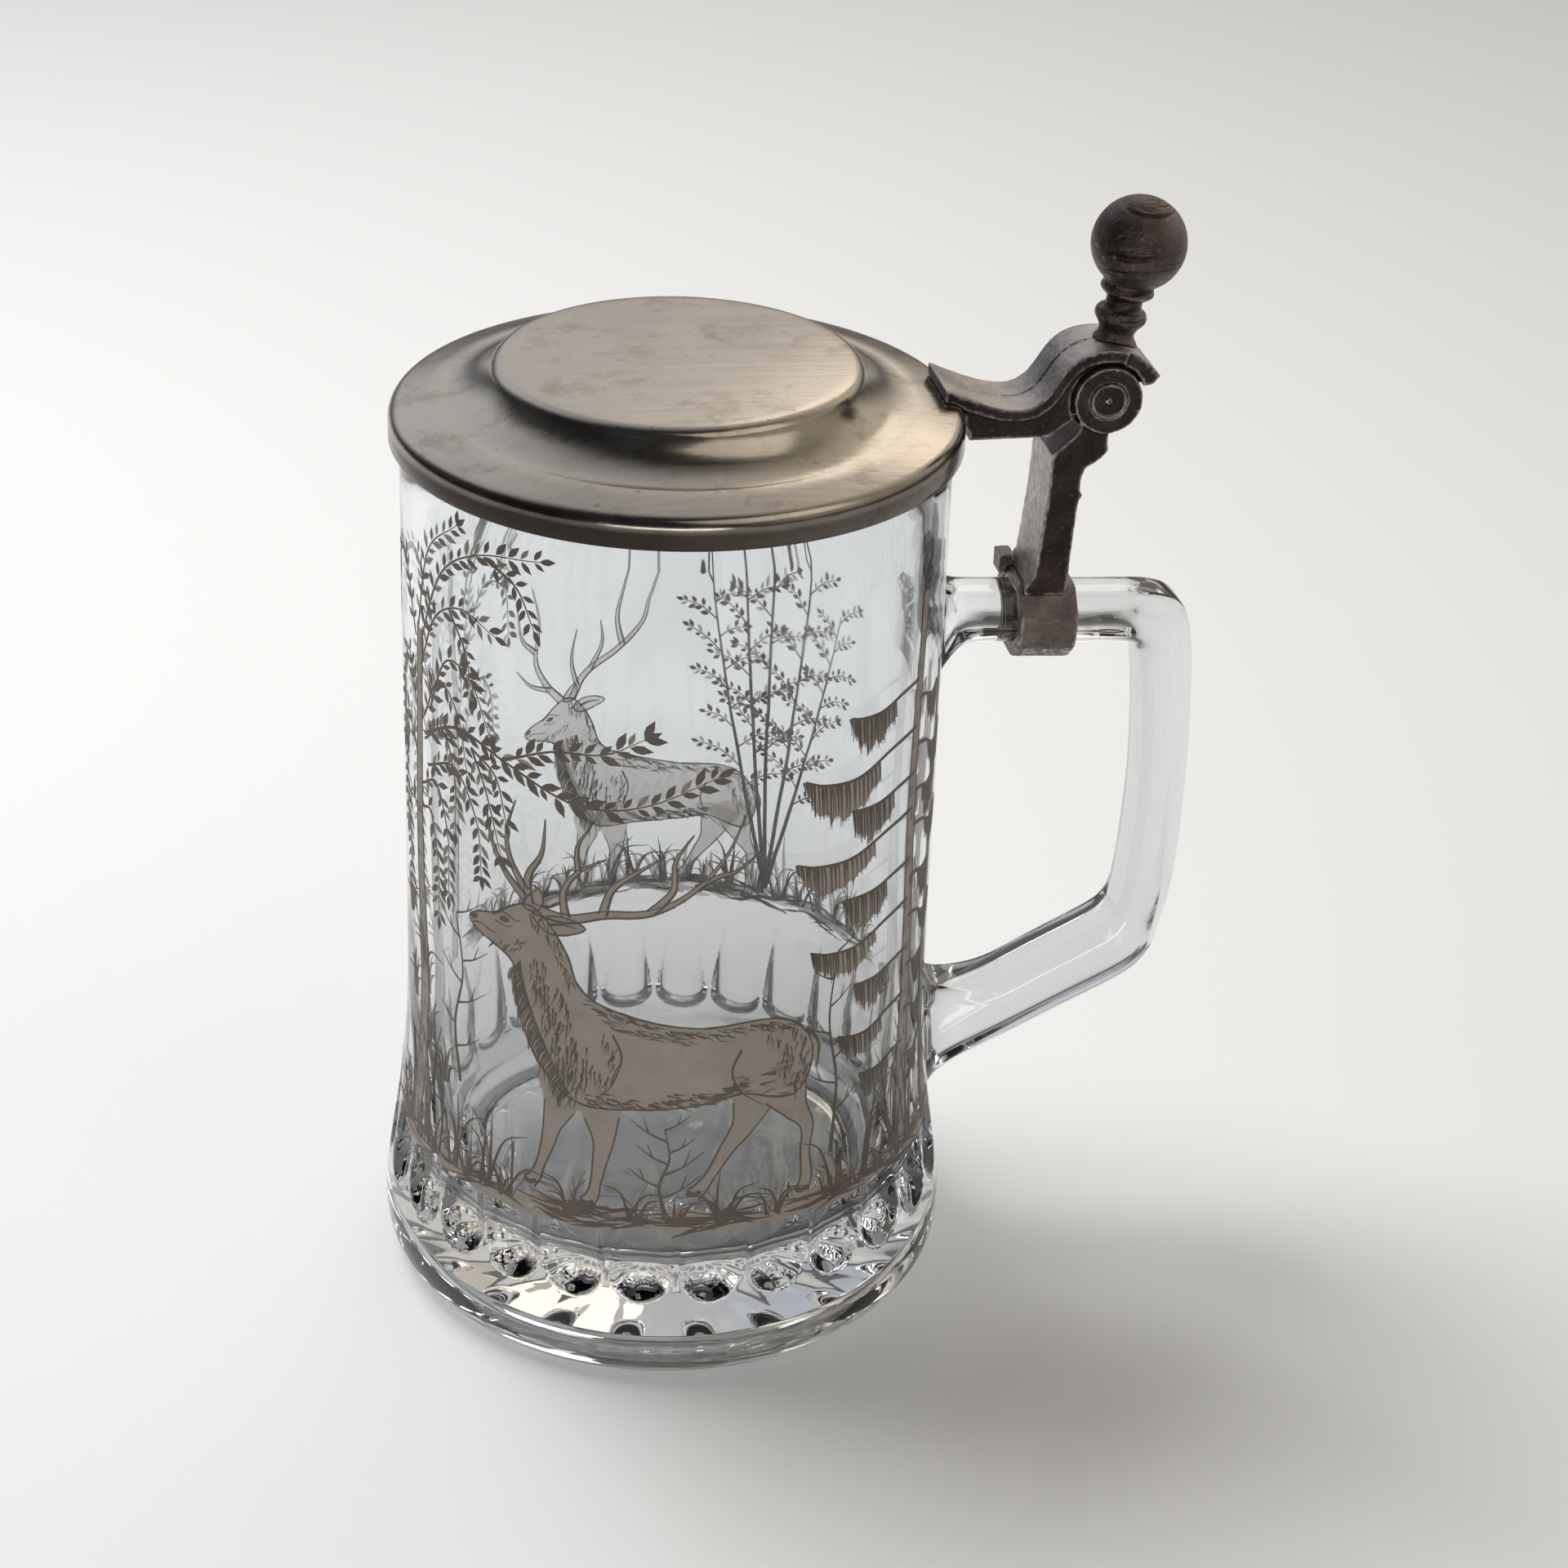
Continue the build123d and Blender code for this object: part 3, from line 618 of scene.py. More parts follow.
def build_lid(material):
    """Spun pewter lid with its crown, rounded plateau edge, cove, sloping flange and skirt."""
    edge = PLATEAU_R - PLATEAU_ROUND
    rise = LID_TOP_Z - PLATEAU_Z
    top = [(r, LID_TOP_Z - rise * (r / edge) ** 2) for r in CROWN_RADII] + [(edge, PLATEAU_Z)]
    top += arc_through(top[-1], (PLATEAU_R - 0.1, 154.45), COVE_TOP, 10)
    top += arc_through(COVE_TOP, COVE_MIDDLE, COVE_BOTTOM, 16) + FLANGE
    top += arc_through(FLANGE[-1], SHOULDER_MIDDLE, (LID_R, SHOULDER_Z), 8) + SKIRT_OUTSIDE
    under = UNDERSIDE + arc_through(UNDERSIDE[-1], INNER_COVE_MIDDLE, INNER_COVE_TOP, 10) + CEILING
    obj = turned("lid_shell", top + under, LID_FACETS)
    obj.data.set_sharp_from_angle(angle=math.radians(40))
    obj.data.materials.append(material)
    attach(obj, "lid")
    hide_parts("lid")


# ---------------------------------------------------------------- cast hinge parts
SWELL_SCALE, SWELL_SHARE = 0.22, 0.65  # slow swell of the skin, per mm, and its share of the dents
GRAIN_SCALE, GRAIN_SHARE = 1.3, 0.35


def cast_piece(node, body, material, voxel, dent):
    """Soft-edged, slightly uneven casting over a CAD part. Its dents only go inwards from the CAD's skin."""
    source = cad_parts[node]
    obj = link(bpy.data.objects.new("cast_" + node, source.data.copy()))
    obj.matrix_world = source.matrix_world.copy()
    skin = obj.modifiers.new("skin", "REMESH")
    skin.mode = "VOXEL"
    skin.voxel_size = voxel * MM
    soften = obj.modifiers.new("soften", "SMOOTH")
    soften.factor = 0.5
    soften.iterations = 3
    apply_modifiers(obj)
    offsets = []
    for v in obj.data.vertices:
        p = v.co / MM
        swell = 0.5 + 0.5 * noise.fractal(p * SWELL_SCALE, 1.0, 2.0, 3)
        grain = 0.5 + 0.5 * noise.noise(p * GRAIN_SCALE)
        offsets.append(v.normal * dent * MM * (SWELL_SHARE * swell + GRAIN_SHARE * grain))
    for v, offset in zip(obj.data.vertices, offsets):
        v.co -= offset
    obj.data.shade_smooth()
    obj.data.materials.clear()
    obj.data.materials.append(material)
    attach(obj, body)
    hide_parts(node)


# ---------------------------------------------------------------- fired woodland print
# The print is drawn on the unrolled wall as (s, z) in mm: s runs to the right round the wall from the
# middle of the front, z is the height above the table. It shows generic stags, trees, reeds and grass.
FRONT_ANGLE = math.radians(-100)
CHANCE = random.Random(7)
vary = CHANCE.uniform
INNER_INK_LIFT, TONE_LIFT, OUTER_INK_LIFT = 0.02, 0.04, 0.06
STRIP = 2.5  # the flat shapes are cut into strips this wide, so that they bend with the wall
WALL_CURVE = curve_through(FOOT_PROFILE, 12)


def vec(*parts):
    """Vector from separate numbers."""
    return Vector(parts)


def wall_radius(z):
    """Outer radius of the wall at a height."""
    for (r0, z0), (r1, z1) in zip(WALL_CURVE, WALL_CURVE[1:]):
        if z0 <= z <= z1:
            return r0 + (r1 - r0) * (z - z0) / (z1 - z0)
    return BODY_R


def closed_curve(points, steps):
    """Smooth closed curve through points."""
    pts = [Vector(p) for p in points]
    out = []
    for i in range(len(pts)):
        near = [pts[(i + j) % len(pts)] for j in (-1, 0, 1, 2)]
        out += [spline_point(*near, k / steps) for k in range(steps)]
    return out


def along_path(path):
    """Smooth open curve along a path, with points about 0.8 mm apart."""
    pts = [Vector(p) for p in path]
    if len(pts) == 2:
        return [pts[0].lerp(pts[1], k / 3) for k in range(4)]
    length = sum((b - a).length for a, b in zip(pts, pts[1:]))
    return curve_through(pts, max(2, min(8, round(length / (len(pts) - 1) / 0.8))))


def normal_at(line, k):
    """Unit normal of a polyline at one of its points."""
    ahead = line[min(k + 1, len(line) - 1)] - line[max(k - 1, 0)]
    return vec(-ahead.y, ahead.x).normalized() if ahead.length else vec(0, 1)


class Drawing:
    """Collects flat shapes of one colour on the unrolled wall."""

    def __init__(self):
        self.points, self.faces = [], []
        self.place()

    def place(self, mirror=False, scale=1, shift=(0, 0)):
        """Sets how the next shapes are mirrored, scaled and moved."""
        self.mirror, self.scale, self.shift = mirror, scale, shift

    def put(self, p):
        """Adds one point and returns its number."""
        s, z = p[0] * self.scale, p[1] * self.scale
        self.points.append(((-s if self.mirror else s) + self.shift[0], z + self.shift[1]))
        return len(self.points) - 1

    def blob(self, outline, steps=5):
        """Filled shape inside a smooth closed outline."""
        loop = closed_curve(outline, steps) if steps > 1 else [Vector(p) for p in outline]
        ids = [self.put(p) for p in loop]
        for tri in geometry.tessellate_polygon([[vec(p.x, p.y, 0) for p in loop]]):
            self.faces.append(tuple(ids[i] for i in tri))

    def stroke(self, path, start=0.5, end=0, middle=None):
        """Brush line along a smooth path, its width going from start through middle to end."""
        line = along_path(path)
        last = None
        for k, p in enumerate(line):
            t = k / (len(line) - 1)
            if middle is None:
                width = start + (end - start) * t
            elif t < 0.5:
                width = start + (middle - start) * t * 2
            else:
                width = middle + (end - middle) * (t - 0.5) * 2
            side = normal_at(line, k) * max(width, 0.05) / 2
            pair = (self.put(p + side), self.put(p - side))
            if last:
                self.faces.append((last[0], last[1], pair[1], pair[0]))
            last = pair

    def leaf(self, at, angle, length, width):
        """Pointed leaf from its stalk end."""
        along = vec(math.cos(angle), math.sin(angle))
        side = vec(-along.y, along.x) * width / 2
        at = Vector(at)
        near, middle, tip = (at + along * length * part for part in (0.25, 0.55, 1))
        shape = [at, near + side * 0.8, middle + side, tip, middle - side, near - side * 0.8]
        self.faces.append(tuple(self.put(p) for p in shape))

    def to_piece(self, name, lift, material):
        """Wraps the flat shapes on the wall as one piece that rides with the mug."""
        bm = bmesh.new()
        verts = [bm.verts.new((s, z, 0)) for s, z in self.points]
        for face in self.faces:
            bm.faces.new([verts[i] for i in face])
        low = min(s for s, z in self.points)
        high = max(s for s, z in self.points)
        cut = math.floor(low / STRIP) * STRIP + STRIP
        while cut < high:
            near = [f for f in bm.faces if min(v.co.x for v in f.verts) < cut < max(v.co.x for v in f.verts)]
            if near:
                geom = list({v for f in near for v in f.verts}) + list({e for f in near for e in f.edges})
                bmesh.ops.bisect_plane(bm, geom=geom + near, plane_co=(cut, 0, 0), plane_no=(1, 0, 0))
            cut += STRIP
        for v in bm.verts:
            angle = FRONT_ANGLE + v.co.x / BODY_R
            z = v.co.y
            r = wall_radius(z) + lift
            v.co = (r * math.cos(angle) * MM, r * math.sin(angle) * MM, z * MM)
        bmesh.ops.recalc_face_normals(bm, faces=bm.faces)
        mesh = bpy.data.meshes.new(name)
        bm.to_mesh(mesh)
        bm.free()
        mesh.shade_smooth()
        mesh.materials.append(material)
        obj = link(bpy.data.objects.new(name, mesh))
        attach(obj, "mug")


STAG_BODY = [
    (-33.6, 75.2), (-31.4, 76.7), (-28.2, 77.7), (-25.4, 79.7), (-22.6, 81.1), (-20, 80.4), (-17.4, 77.6),
    (-15, 73.4), (-13.8, 69.6), (-11.2, 67), (-7, 65.4), (-1, 63.9), (6, 63), (12, 63.4),
    (17.6, 63.2), (21.6, 60.8), (23.9, 56.8), (23.4, 52.2), (20.8, 48.8), (16, 49.6), (12, 50.8),
    (6.6, 49.6), (0.6, 48.8), (-5.4, 48.4), (-10.4, 48), (-14.4, 48.8), (-18.2, 51.8), (-21.4, 56.2),
    (-23.5, 61.2), (-24.2, 66.2), (-24.8, 70.2), (-27.4, 71.8), (-30.6, 72.8), (-32.8, 73.8),
]
STAG_LEGS = [  # each leg as a middle line and its widths
    ([(-15.6, 51.5), (-16.4, 47), (-17.6, 43.2), (-18.2, 40), (-19.2, 36.2), (-20, 33.8), (-21, 32.4)],
     [8.4, 5.2, 3, 2.2, 1.5, 1.9, 2.3]),
    ([(-10.4, 51), (-9.6, 46.4), (-9.2, 42.4), (-9.6, 39), (-10.2, 34.8), (-10.6, 32.6), (-11.6, 31)],
     [8.6, 5.6, 3.3, 2.3, 1.6, 2, 2.4]),
    ([(18.4, 54.5), (19.4, 49.4), (21.4, 45.6), (23.2, 42.4), (22.8, 38), (22.9, 33.6), (22, 31.2)],
     [10.6, 7.4, 3.8, 2.3, 1.6, 2, 2.4]),
    ([(14.6, 53), (13.8, 48.4), (12.2, 44.6), (9.8, 41.2), (7.6, 37.4), (5.9, 34.9), (4.6, 33.6)],
     [9.6, 6.4, 3.6, 2.3, 1.6, 2, 2.4]),
]
FRONT_ANTLERS = [  # beams and tines, with the width at their root
    ([(-21, 80.8), (-15.4, 80.4), (-9.4, 82.2), (-2.6, 83.2), (3.6, 86.8), (8.4, 92.4), (11.2, 98.6)], 1.9),
    ([(-9.8, 82.1), (-8.4, 86.6), (-4.6, 90), (-0.6, 92.8)], 1.4),
    ([(-2.6, 83.2), (0.8, 87.2), (1, 92), (3.6, 96.4)], 1.4),
    ([(4.2, 87.4), (7, 89.2), (10.6, 90.2), (14.2, 93.4)], 1.1),
    ([(-15.6, 80.6), (-16, 85), (-13.4, 89), (-9.4, 91.6)], 1.4),
    ([(-13.6, 88.8), (-13.8, 93), (-11.6, 97)], 1),
    ([(-21.8, 81.4), (-22, 86), (-19.6, 90.6), (-19, 96.4)], 1.6),
    ([(-22.6, 82.2), (-26.2, 85.6), (-28.8, 90.2), (-29.8, 95)], 1.4),
    ([(-22.4, 83.4), (-25.2, 88), (-25.8, 92.8), (-24.2, 98.2)], 1.3),
]
BACK_ANTLERS = [
    ([(-20.6, 80.8), (-17.4, 86.4), (-10, 91), (-3.8, 97), (-1.8, 104), (2.6, 110.6)], 1.9),
    ([(-8.4, 92.2), (-9.6, 98.4), (-8.4, 104.4), (-6.4, 109)], 1.3),
    ([(-16.2, 87.4), (-13.2, 92.8), (-13.4, 98.4)], 1.2),
    ([(-19.4, 83.6), (-20.8, 90), (-19.4, 97)], 1.2),
    ([(-23.2, 80.8), (-27.4, 85.6), (-30.2, 92), (-29.2, 100.4), (-31.2, 109)], 1.8),
    ([(-30.2, 93.6), (-34.4, 98), (-35.6, 104.6)], 1.2),
    ([(-26.2, 84), (-31.4, 86.2), (-35.8, 91)], 1.2),
]


HEAD_HAIR = [  # path, direction in radians, length and width of the hairs
    ([(-28.5, 72.6), (-25.6, 73), (-22, 74.8)], -2.2, 1.4),
    ([(-21.5, 79.8), (-18.6, 77.4), (-16, 73), (-14.6, 69.4)], -1.3, 2),
]
BODY_HAIR = [
    ([(-12, 66.4), (-6, 64.4), (0, 63), (7, 62), (14, 62.4), (19, 61.6)], -0.35, 2.2),
    ([(-10, 64), (-4, 62), (3, 61.2)], -0.3, 2.4, 0.18),
    ([(-12, 49.4), (-4, 49.4), (4, 50), (10, 51.2)], -0.25, 2.2, 0.36),
    ([(0, 50.6), (6, 51.2), (12, 52)], -0.2, 2, 0.36),
    ([(19.6, 61), (22.2, 58), (22.6, 54), (21, 50.4)], -1.8, 2.2, 0.3),
    ([(16.8, 60.6), (19.4, 57), (19.8, 53)], -1.6, 2.2, 0.22),
    ([(-9.4, 60.6), (-7.6, 57), (-8.8, 52.8)], -1.9, 2.2),
    ([(-14.6, 56), (-13.2, 52), (-14.4, 48.4)], -1.7, 2.2, 0.2),
]


def outline_of(ink, points, wide=0.42, thin=0.24):
    """Ink line of uneven width along a smooth closed outline."""
    loop = closed_curve(points, 4)
    for k in range(0, len(loop), 8):
        ink.stroke([loop[(k + j) % len(loop)] for j in range(0, 9, 2)], wide, thin)


def leg_outline(path, widths):
    """Closed outline of a leg from its middle line and widths."""
    line = [Vector(p) for p in path]
    sides = [normal_at(line, k) * width / 2 for k, width in enumerate(widths)]
    return [p + side for p, side in zip(line, sides)] + [p - side for p, side in zip(line, sides)][::-1]


def antler(tone, ink, path, width):
    """Tapered horn with an inked edge on either side and a few ridges along it."""
    tone.stroke(path, width, 0.2, width * 0.75)
    line = along_path(path)
    for side, weight in ((1, 0.26), (-1, 0.44)):
        edge = [p + normal_at(line, k) * side * width * 0.46 * (1 - 0.9 * k / (len(line) - 1))
                for k, p in enumerate(line)]
        ink.stroke(edge[::3] + [edge[-1]], weight, 0.1)
    for k in range(2, len(line) * 2 // 3, 2):
        across = normal_at(line, k) * width * 0.2
        ink.stroke([line[k] - across * 2, line[k] - across * 0.4], 0.16, 0.08)


def hairs(ink, places, direction, length, width=0.26):
    """Short tapered hairs scattered along a path, each leaning about one way."""
    line = along_path(places)
    for p in line:
        for _ in range(2):
            at = p + vec(vary(-0.9, 0.9), vary(-0.7, 0.7))
            angle = direction + vary(-0.25, 0.25)
            step = vec(math.cos(angle), math.sin(angle)) * length * vary(0.6, 1.2)
            bend = vec(-step.y, step.x) * vary(-0.2, 0.2)
            ink.stroke([at, at + step / 2 + bend, at + step], width, 0.05)


def mane(tone, ink):
    """Shaggy hair that hangs from the throat and the chest."""
    for k in range(64):
        t = k / 63
        root = vec(-23.8 + 8.5 * t ** 1.5, 70.5 - 21.0 * t)
        size = vary(2.6, 4.2)
        tip = root + vec(vary(-2, -0.5) * (1 - 0.5 * t), -size)
        middle = (root + tip) / 2 + vec(-0.5, 0.1)
        tone.stroke([root + vec(1.2, 0.8), middle, tip], 1.1, 0.08)
        ink.stroke([root + vec(0.5, 0.4), middle + vec(0.2, 0), tip], 0.34, 0.06)
    for _ in range(120):
        t = CHANCE.random()
        root = vec(-22.4 + 6.0 * t + CHANCE.random() * (4.0 + 3.4 * t), 72.0 - 19.5 * t)
        size = vary(1.6, 3.4)
        lean = vary(-1, 0.1)
        middle = root + vec(lean * 0.2, -size * 0.5)
        ink.stroke([root, middle, root + vec(lean, -size)], 0.34, 0.05)


def draw_stag(tone, ink, antlers):
    """Walking stag with a raised head, in its own place on the front of the wall."""
    for path, widths in STAG_LEGS:
        shape = leg_outline(path, widths)
        tone.blob(shape, 3)
        half = len(shape) // 2
        ink.stroke(shape[1:half], 0.24, 0.34)
        ink.stroke(shape[half:-1][::-1], 0.24, 0.34)
        hoof = Vector(path[-1])
        ink.stroke([hoof + vec(-0.9, 0.5), hoof, hoof + vec(1.2, 0.5)], 0.9, 0.7)
    tone.blob(STAG_BODY, 5)
    outline_of(ink, STAG_BODY)
    for path, width in antlers:
        antler(tone, ink, path, width)
    for ear in (
        [(-20.2, 78.6), (-18.2, 80.2), (-15, 80.4), (-12.4, 79.2), (-15.2, 77.6), (-18.4, 77.2)],
        [(-22.8, 80.6), (-22, 82.6), (-20, 84.4), (-19.4, 82.4), (-20.4, 80.4)],
    ):
        tone.blob(ear, 4)
        outline_of(ink, ear, 0.34, 0.22)
    ink.stroke([(-18.6, 78.6), (-16.2, 79.2), (-13.8, 79.1)], 0.6, 0.1)
    ink.blob([(-27.4, 77), (-26.4, 77.7), (-25.3, 77.3), (-26.3, 76.6)], 3)
    ink.stroke([(-28.6, 77.2), (-26.6, 78.4), (-24.4, 77.6), (-23.4, 77.9)], 0.3, 0.12)
    ink.stroke([(-28.2, 76.4), (-26.4, 76), (-24.8, 76.4)], 0.22, 0.1)
    ink.blob([(-33.5, 75.3), (-32.5, 76.1), (-31.8, 75.5), (-32.8, 74.8)], 3)
    ink.stroke([(-33, 74.3), (-31, 74.7), (-29, 74.1), (-27.8, 74.3)], 0.26, 0.1)
    for coat in HEAD_HAIR:
        hairs(ink, *coat)
    mane(tone, ink)
    for coat in BODY_HAIR:
        hairs(ink, *coat)
    for curve in (
        [(11.8, 58.6), (10.4, 54.8), (12, 51), (15.4, 48.2)],
        [(-8, 61.4), (-6.6, 57.6), (-8, 52.6), (-10.6, 49.2)],
    ):
        ink.stroke(curve, 0.42, 0.12)
    tone.stroke([(22.6, 60.2), (24.9, 56.8), (24.6, 52.6)], 1.8, 0.5)
    ink.stroke([(22.8, 60), (25, 56.8), (24.8, 52.2)], 0.8, 0.2)


def twig_with_leaves(tone, ink, path, width, gap, leaf, tilt=0.75, pale=0.3):
    """Twig with pairs of leaves that point along it and one leaf at its tip."""
    ink.stroke(path, width, 0.12)
    line = curve_through(path, 10) if len(path) > 2 else along_path(path)
    travelled = 0.0
    for a, b in zip(line, line[1:]):
        travelled += (b - a).length
        if travelled < gap:
            continue
        travelled = vary(-0.15, 0.15) * gap
        heading = math.atan2((b - a).y, (b - a).x)
        for side in (-1, 1):
            turn = heading + side * tilt * vary(0.75, 1.2)
            size = vary(0.7, 1.15)
            step = vec(math.cos(turn), math.sin(turn))
            root = b + step * 0.35
            if CHANCE.random() < pale:
                tone.leaf(root, turn, leaf[0] * size, leaf[1] * size)
                ink.stroke([root, root + step * leaf[0] * size], 0.14, 0.08)
            else:
                ink.leaf(root, turn, leaf[0] * size, leaf[1] * size)
    end = line[-1] - line[-2]
    ink.leaf(line[-1], math.atan2(end.y, end.x), leaf[0], leaf[1])


def leafy_tree(tone, ink, base, stems):
    """Many-stemmed young tree: each stem carries side twigs set with small leaves."""
    for reach, height, bow in stems:
        s, z = base
        stem = [(s, z), (s + reach * 0.25 + bow, z + height * 0.35),
                (s + reach * 0.6 + bow, z + height * 0.7), (s + reach, z + height)]
        ink.stroke(stem, 0.9, 0.2)
        line = curve_through(stem, 12)
        for k in range(11, len(line), 2):
            side = 1 if k % 4 < 2 else -1
            size = 4.0 + 6.5 * (1 - k / len(line)) + vary(-1, 1)
            at = line[k]
            tip = at + vec(side * size * vary(0.75, 1), size * vary(0.35, 0.8))
            middle = (at + tip) / 2 + vec(0, size * 0.10)
            twig_with_leaves(tone, ink, [at, middle, tip], 0.28, 1.35, (1.5, 0.75), 0.7, 0.35)


def trunk(tone, ink, path, width):
    """Upright stem with a pale face, two inked edges and bark strokes."""
    tone.stroke(path, width, width * 0.5)
    line = along_path(path)
    for side in (-1, 1):
        edge = [p + normal_at(line, k) * side * width * (0.5 - 0.25 * k / (len(line) - 1))
                for k, p in enumerate(line)]
        ink.stroke(edge[::2] + [edge[-1]], 0.5, 0.25)
    for k in range(1, len(line) - 1):
        for _ in range(3):
            at = line[k] + normal_at(line, k) * vary(-0.4, 0.4) * width
            ink.stroke([at, at + vec(vary(-0.3, 0.3), vary(1, 2.6))], 0.24, 0.06)


def bough(tone, ink, start, reach, drop, hang):
    """Spruce bough to one side with foliage that hangs from it like a fringe."""
    s, z = start
    path = [(s, z), (s + reach * 0.3, z - drop * 0.3), (s + reach * 0.6, z - drop),
            (s + reach * 0.85, z - drop * 0.8), (s + reach, z - drop * 0.3)]
    ink.stroke(path, 0.7, 0.3)
    line = curve_through(path, 8)
    first = len(line) // 3
    fringe = line[first:]
    lower = []
    for k, p in enumerate(fringe):
        fullness = 0.5 + 0.5 * math.sin(math.pi * k / (len(fringe) - 1))
        lower.append(p + vec(0.5, -hang * fullness * vary(0.75, 1.1)))
    tone.blob(fringe + lower[::-1], 1)
    for p, q in zip(fringe, lower):
        for _ in range(2):
            shift = vec(vary(-0.4, 0.4), 0)
            ink.stroke([p + shift, (p + q) / 2 + shift * 0.6, q + shift + vec(0, -0.6)], 0.34, 0.06)


def bare_sapling(ink, path):
    """Thin leafless stem with forked twigs."""
    ink.stroke(path, 0.7, 0.2)
    line = curve_through(path, 10)
    for k in range(6, len(line), 4):
        side = 1 if (k // 4) % 2 else -1
        size = vary(3.5, 6.5)
        at = line[k]
        mid = at + vec(side * size * 0.5, size * 0.25)
        tip = at + vec(side * size, size * 0.65)
        ink.stroke([at, mid, tip], 0.4, 0.1)
        ink.stroke([mid, mid + vec(side * size * 0.15, size * 0.45)], 0.26, 0.08)


def tuft(tone, ink, s, z, blades, length, spread=1, pale=0.35):
    """Fan of blades that bend outwards under their own weight."""
    for _ in range(blades):
        lean = vary(-1, 1) * spread
        size = length * vary(0.5, 1.1)
        root = vec(s + vary(-1.2, 1.2), z + vary(-0.5, 0.5))
        mid = root + vec(lean * size * 0.35, size * (0.62 - 0.15 * abs(lean)))
        tip = root + vec(lean * size * 0.95, size * (1.0 - 0.62 * abs(lean)))
        if CHANCE.random() < pale:
            tone.stroke([root, mid, tip], 0.9, 0.08)
            ink.stroke([root + vec(0.35, 0), mid + vec(0.3, 0), tip], 0.2, 0.06)
        else:
            ink.stroke([root, mid, tip], 0.62, 0.06)


def ground(tone, ink, start, end, level):
    """Band of earth: overlapping flat washes with root-like strokes over them."""
    for _ in range(int((end - start) * 0.9)):
        s, z = vary(start, end), level + vary(-0.8, 1.8)
        half, rise = vary(2.5, 6), vary(-0.8, 0.8)
        tone.stroke([(s - half, z - rise), (s, z + vary(-0.5, 0.5)), (s + half, z + rise)],
                    0.2, 0.2, vary(0.9, 2.2))
    for _ in range(int((end - start) * 0.9)):
        s, z = vary(start, end), level + vary(-1.2, 2.2)
        half, rise = vary(2, 5.5), vary(-1.2, 1.2)
        ink.stroke([(s - half, z - rise), (s, z + vary(-0.6, 0.6)), (s + half, z + rise)],
                   0.1, 0.1, vary(0.3, 0.8))


LEFT_FRONDS = [
    [(-47, 112), (-42, 122), (-35, 126), (-28, 124)], [(-47, 116), (-40, 130), (-31, 136), (-20, 138)],
    [(-48, 118), (-44, 132), (-36, 139)], [(-30, 136), (-24, 133), (-21, 127)],
    [(-38, 125), (-34, 119), (-33, 112)], [(-46, 104), (-41, 112), (-36, 108), (-34, 99)],
    [(-46, 100), (-40, 104), (-37, 97), (-37, 88)], [(-45, 96), (-37, 99), (-32, 92), (-31, 83)],
    [(-47, 92), (-42, 94), (-39, 86), (-39, 76)], [(-44, 106), (-39, 116), (-33, 115), (-29, 107)],
    [(-47, 88), (-44, 88), (-42, 80), (-42, 71)], [(-49, 104), (-53, 112), (-57, 106), (-58, 95)],
    [(-49, 96), (-54, 101), (-56, 92), (-56, 81)], [(-49, 86), (-53, 88), (-54, 79), (-53, 69)],
    [(-49, 116), (-54, 127), (-60, 126), (-63, 116)], [(-33, 104), (-28, 101), (-26, 94)],
    [(-33, 104), (-30, 98), (-27, 88)],
]
RIGHT_FRONDS = [
    ([(-46, 101), (-36, 106), (-26, 104), (-14, 100), (-4, 101), (7, 106)], 0.6),
    ([(-27, 104), (-18, 108), (-10, 109), (-4, 112)], 0.45),
]
BACK_FRONDS = [
    [(-84, 88), (-88, 108), (-95, 120), (-104, 126)], [(-86, 96), (-92, 106), (-98, 104), (-99, 95)],
    [(-85, 104), (-90, 116), (-97, 113), (-98, 106)], [(-84, 80), (-90, 90), (-94, 86), (-95, 78)],
    [(-88, 112), (-96, 128), (-106, 134), (-116, 134)], [(-106, 134), (-110, 130), (-111, 124)],
]
BACK_STEMS = [  # reach to the side, height and bow of each stem
    (-9, 74, -1.5), (-2, 84, 1), (6, 80, 1.5), (12, 60, 2), (-15, 56, -2),
]
GRASS = (-53, -47, -41, -33, -25, -14, -4, 2, 9, 17, 27, 32, 38, 44, 50, 55)
REEDS = ((-50, 22), (-44, 26), (-36, 17), (-29, 15), (29, 14), (35, 20), (42, 24), (47, 28), (54, 24))
BUSHES = ((-52, 52), (-45, 47), (-48, 60), (-40, 42), (-54, 66))
BOUGHS = [  # height, reach to the side, drop and length of the fringe
    (112, -17, 1.5, 5.5), (104, -25, 3, 6.5), (96, -16, 1, 6), (90, -26, 2.5, 5), (81, -17, 1, 6),
    (74, -23, 2.5, 4.5), (65, -14, 1, 5), (57, -17, 2, 4.5), (48, -12, 1, 4),
]


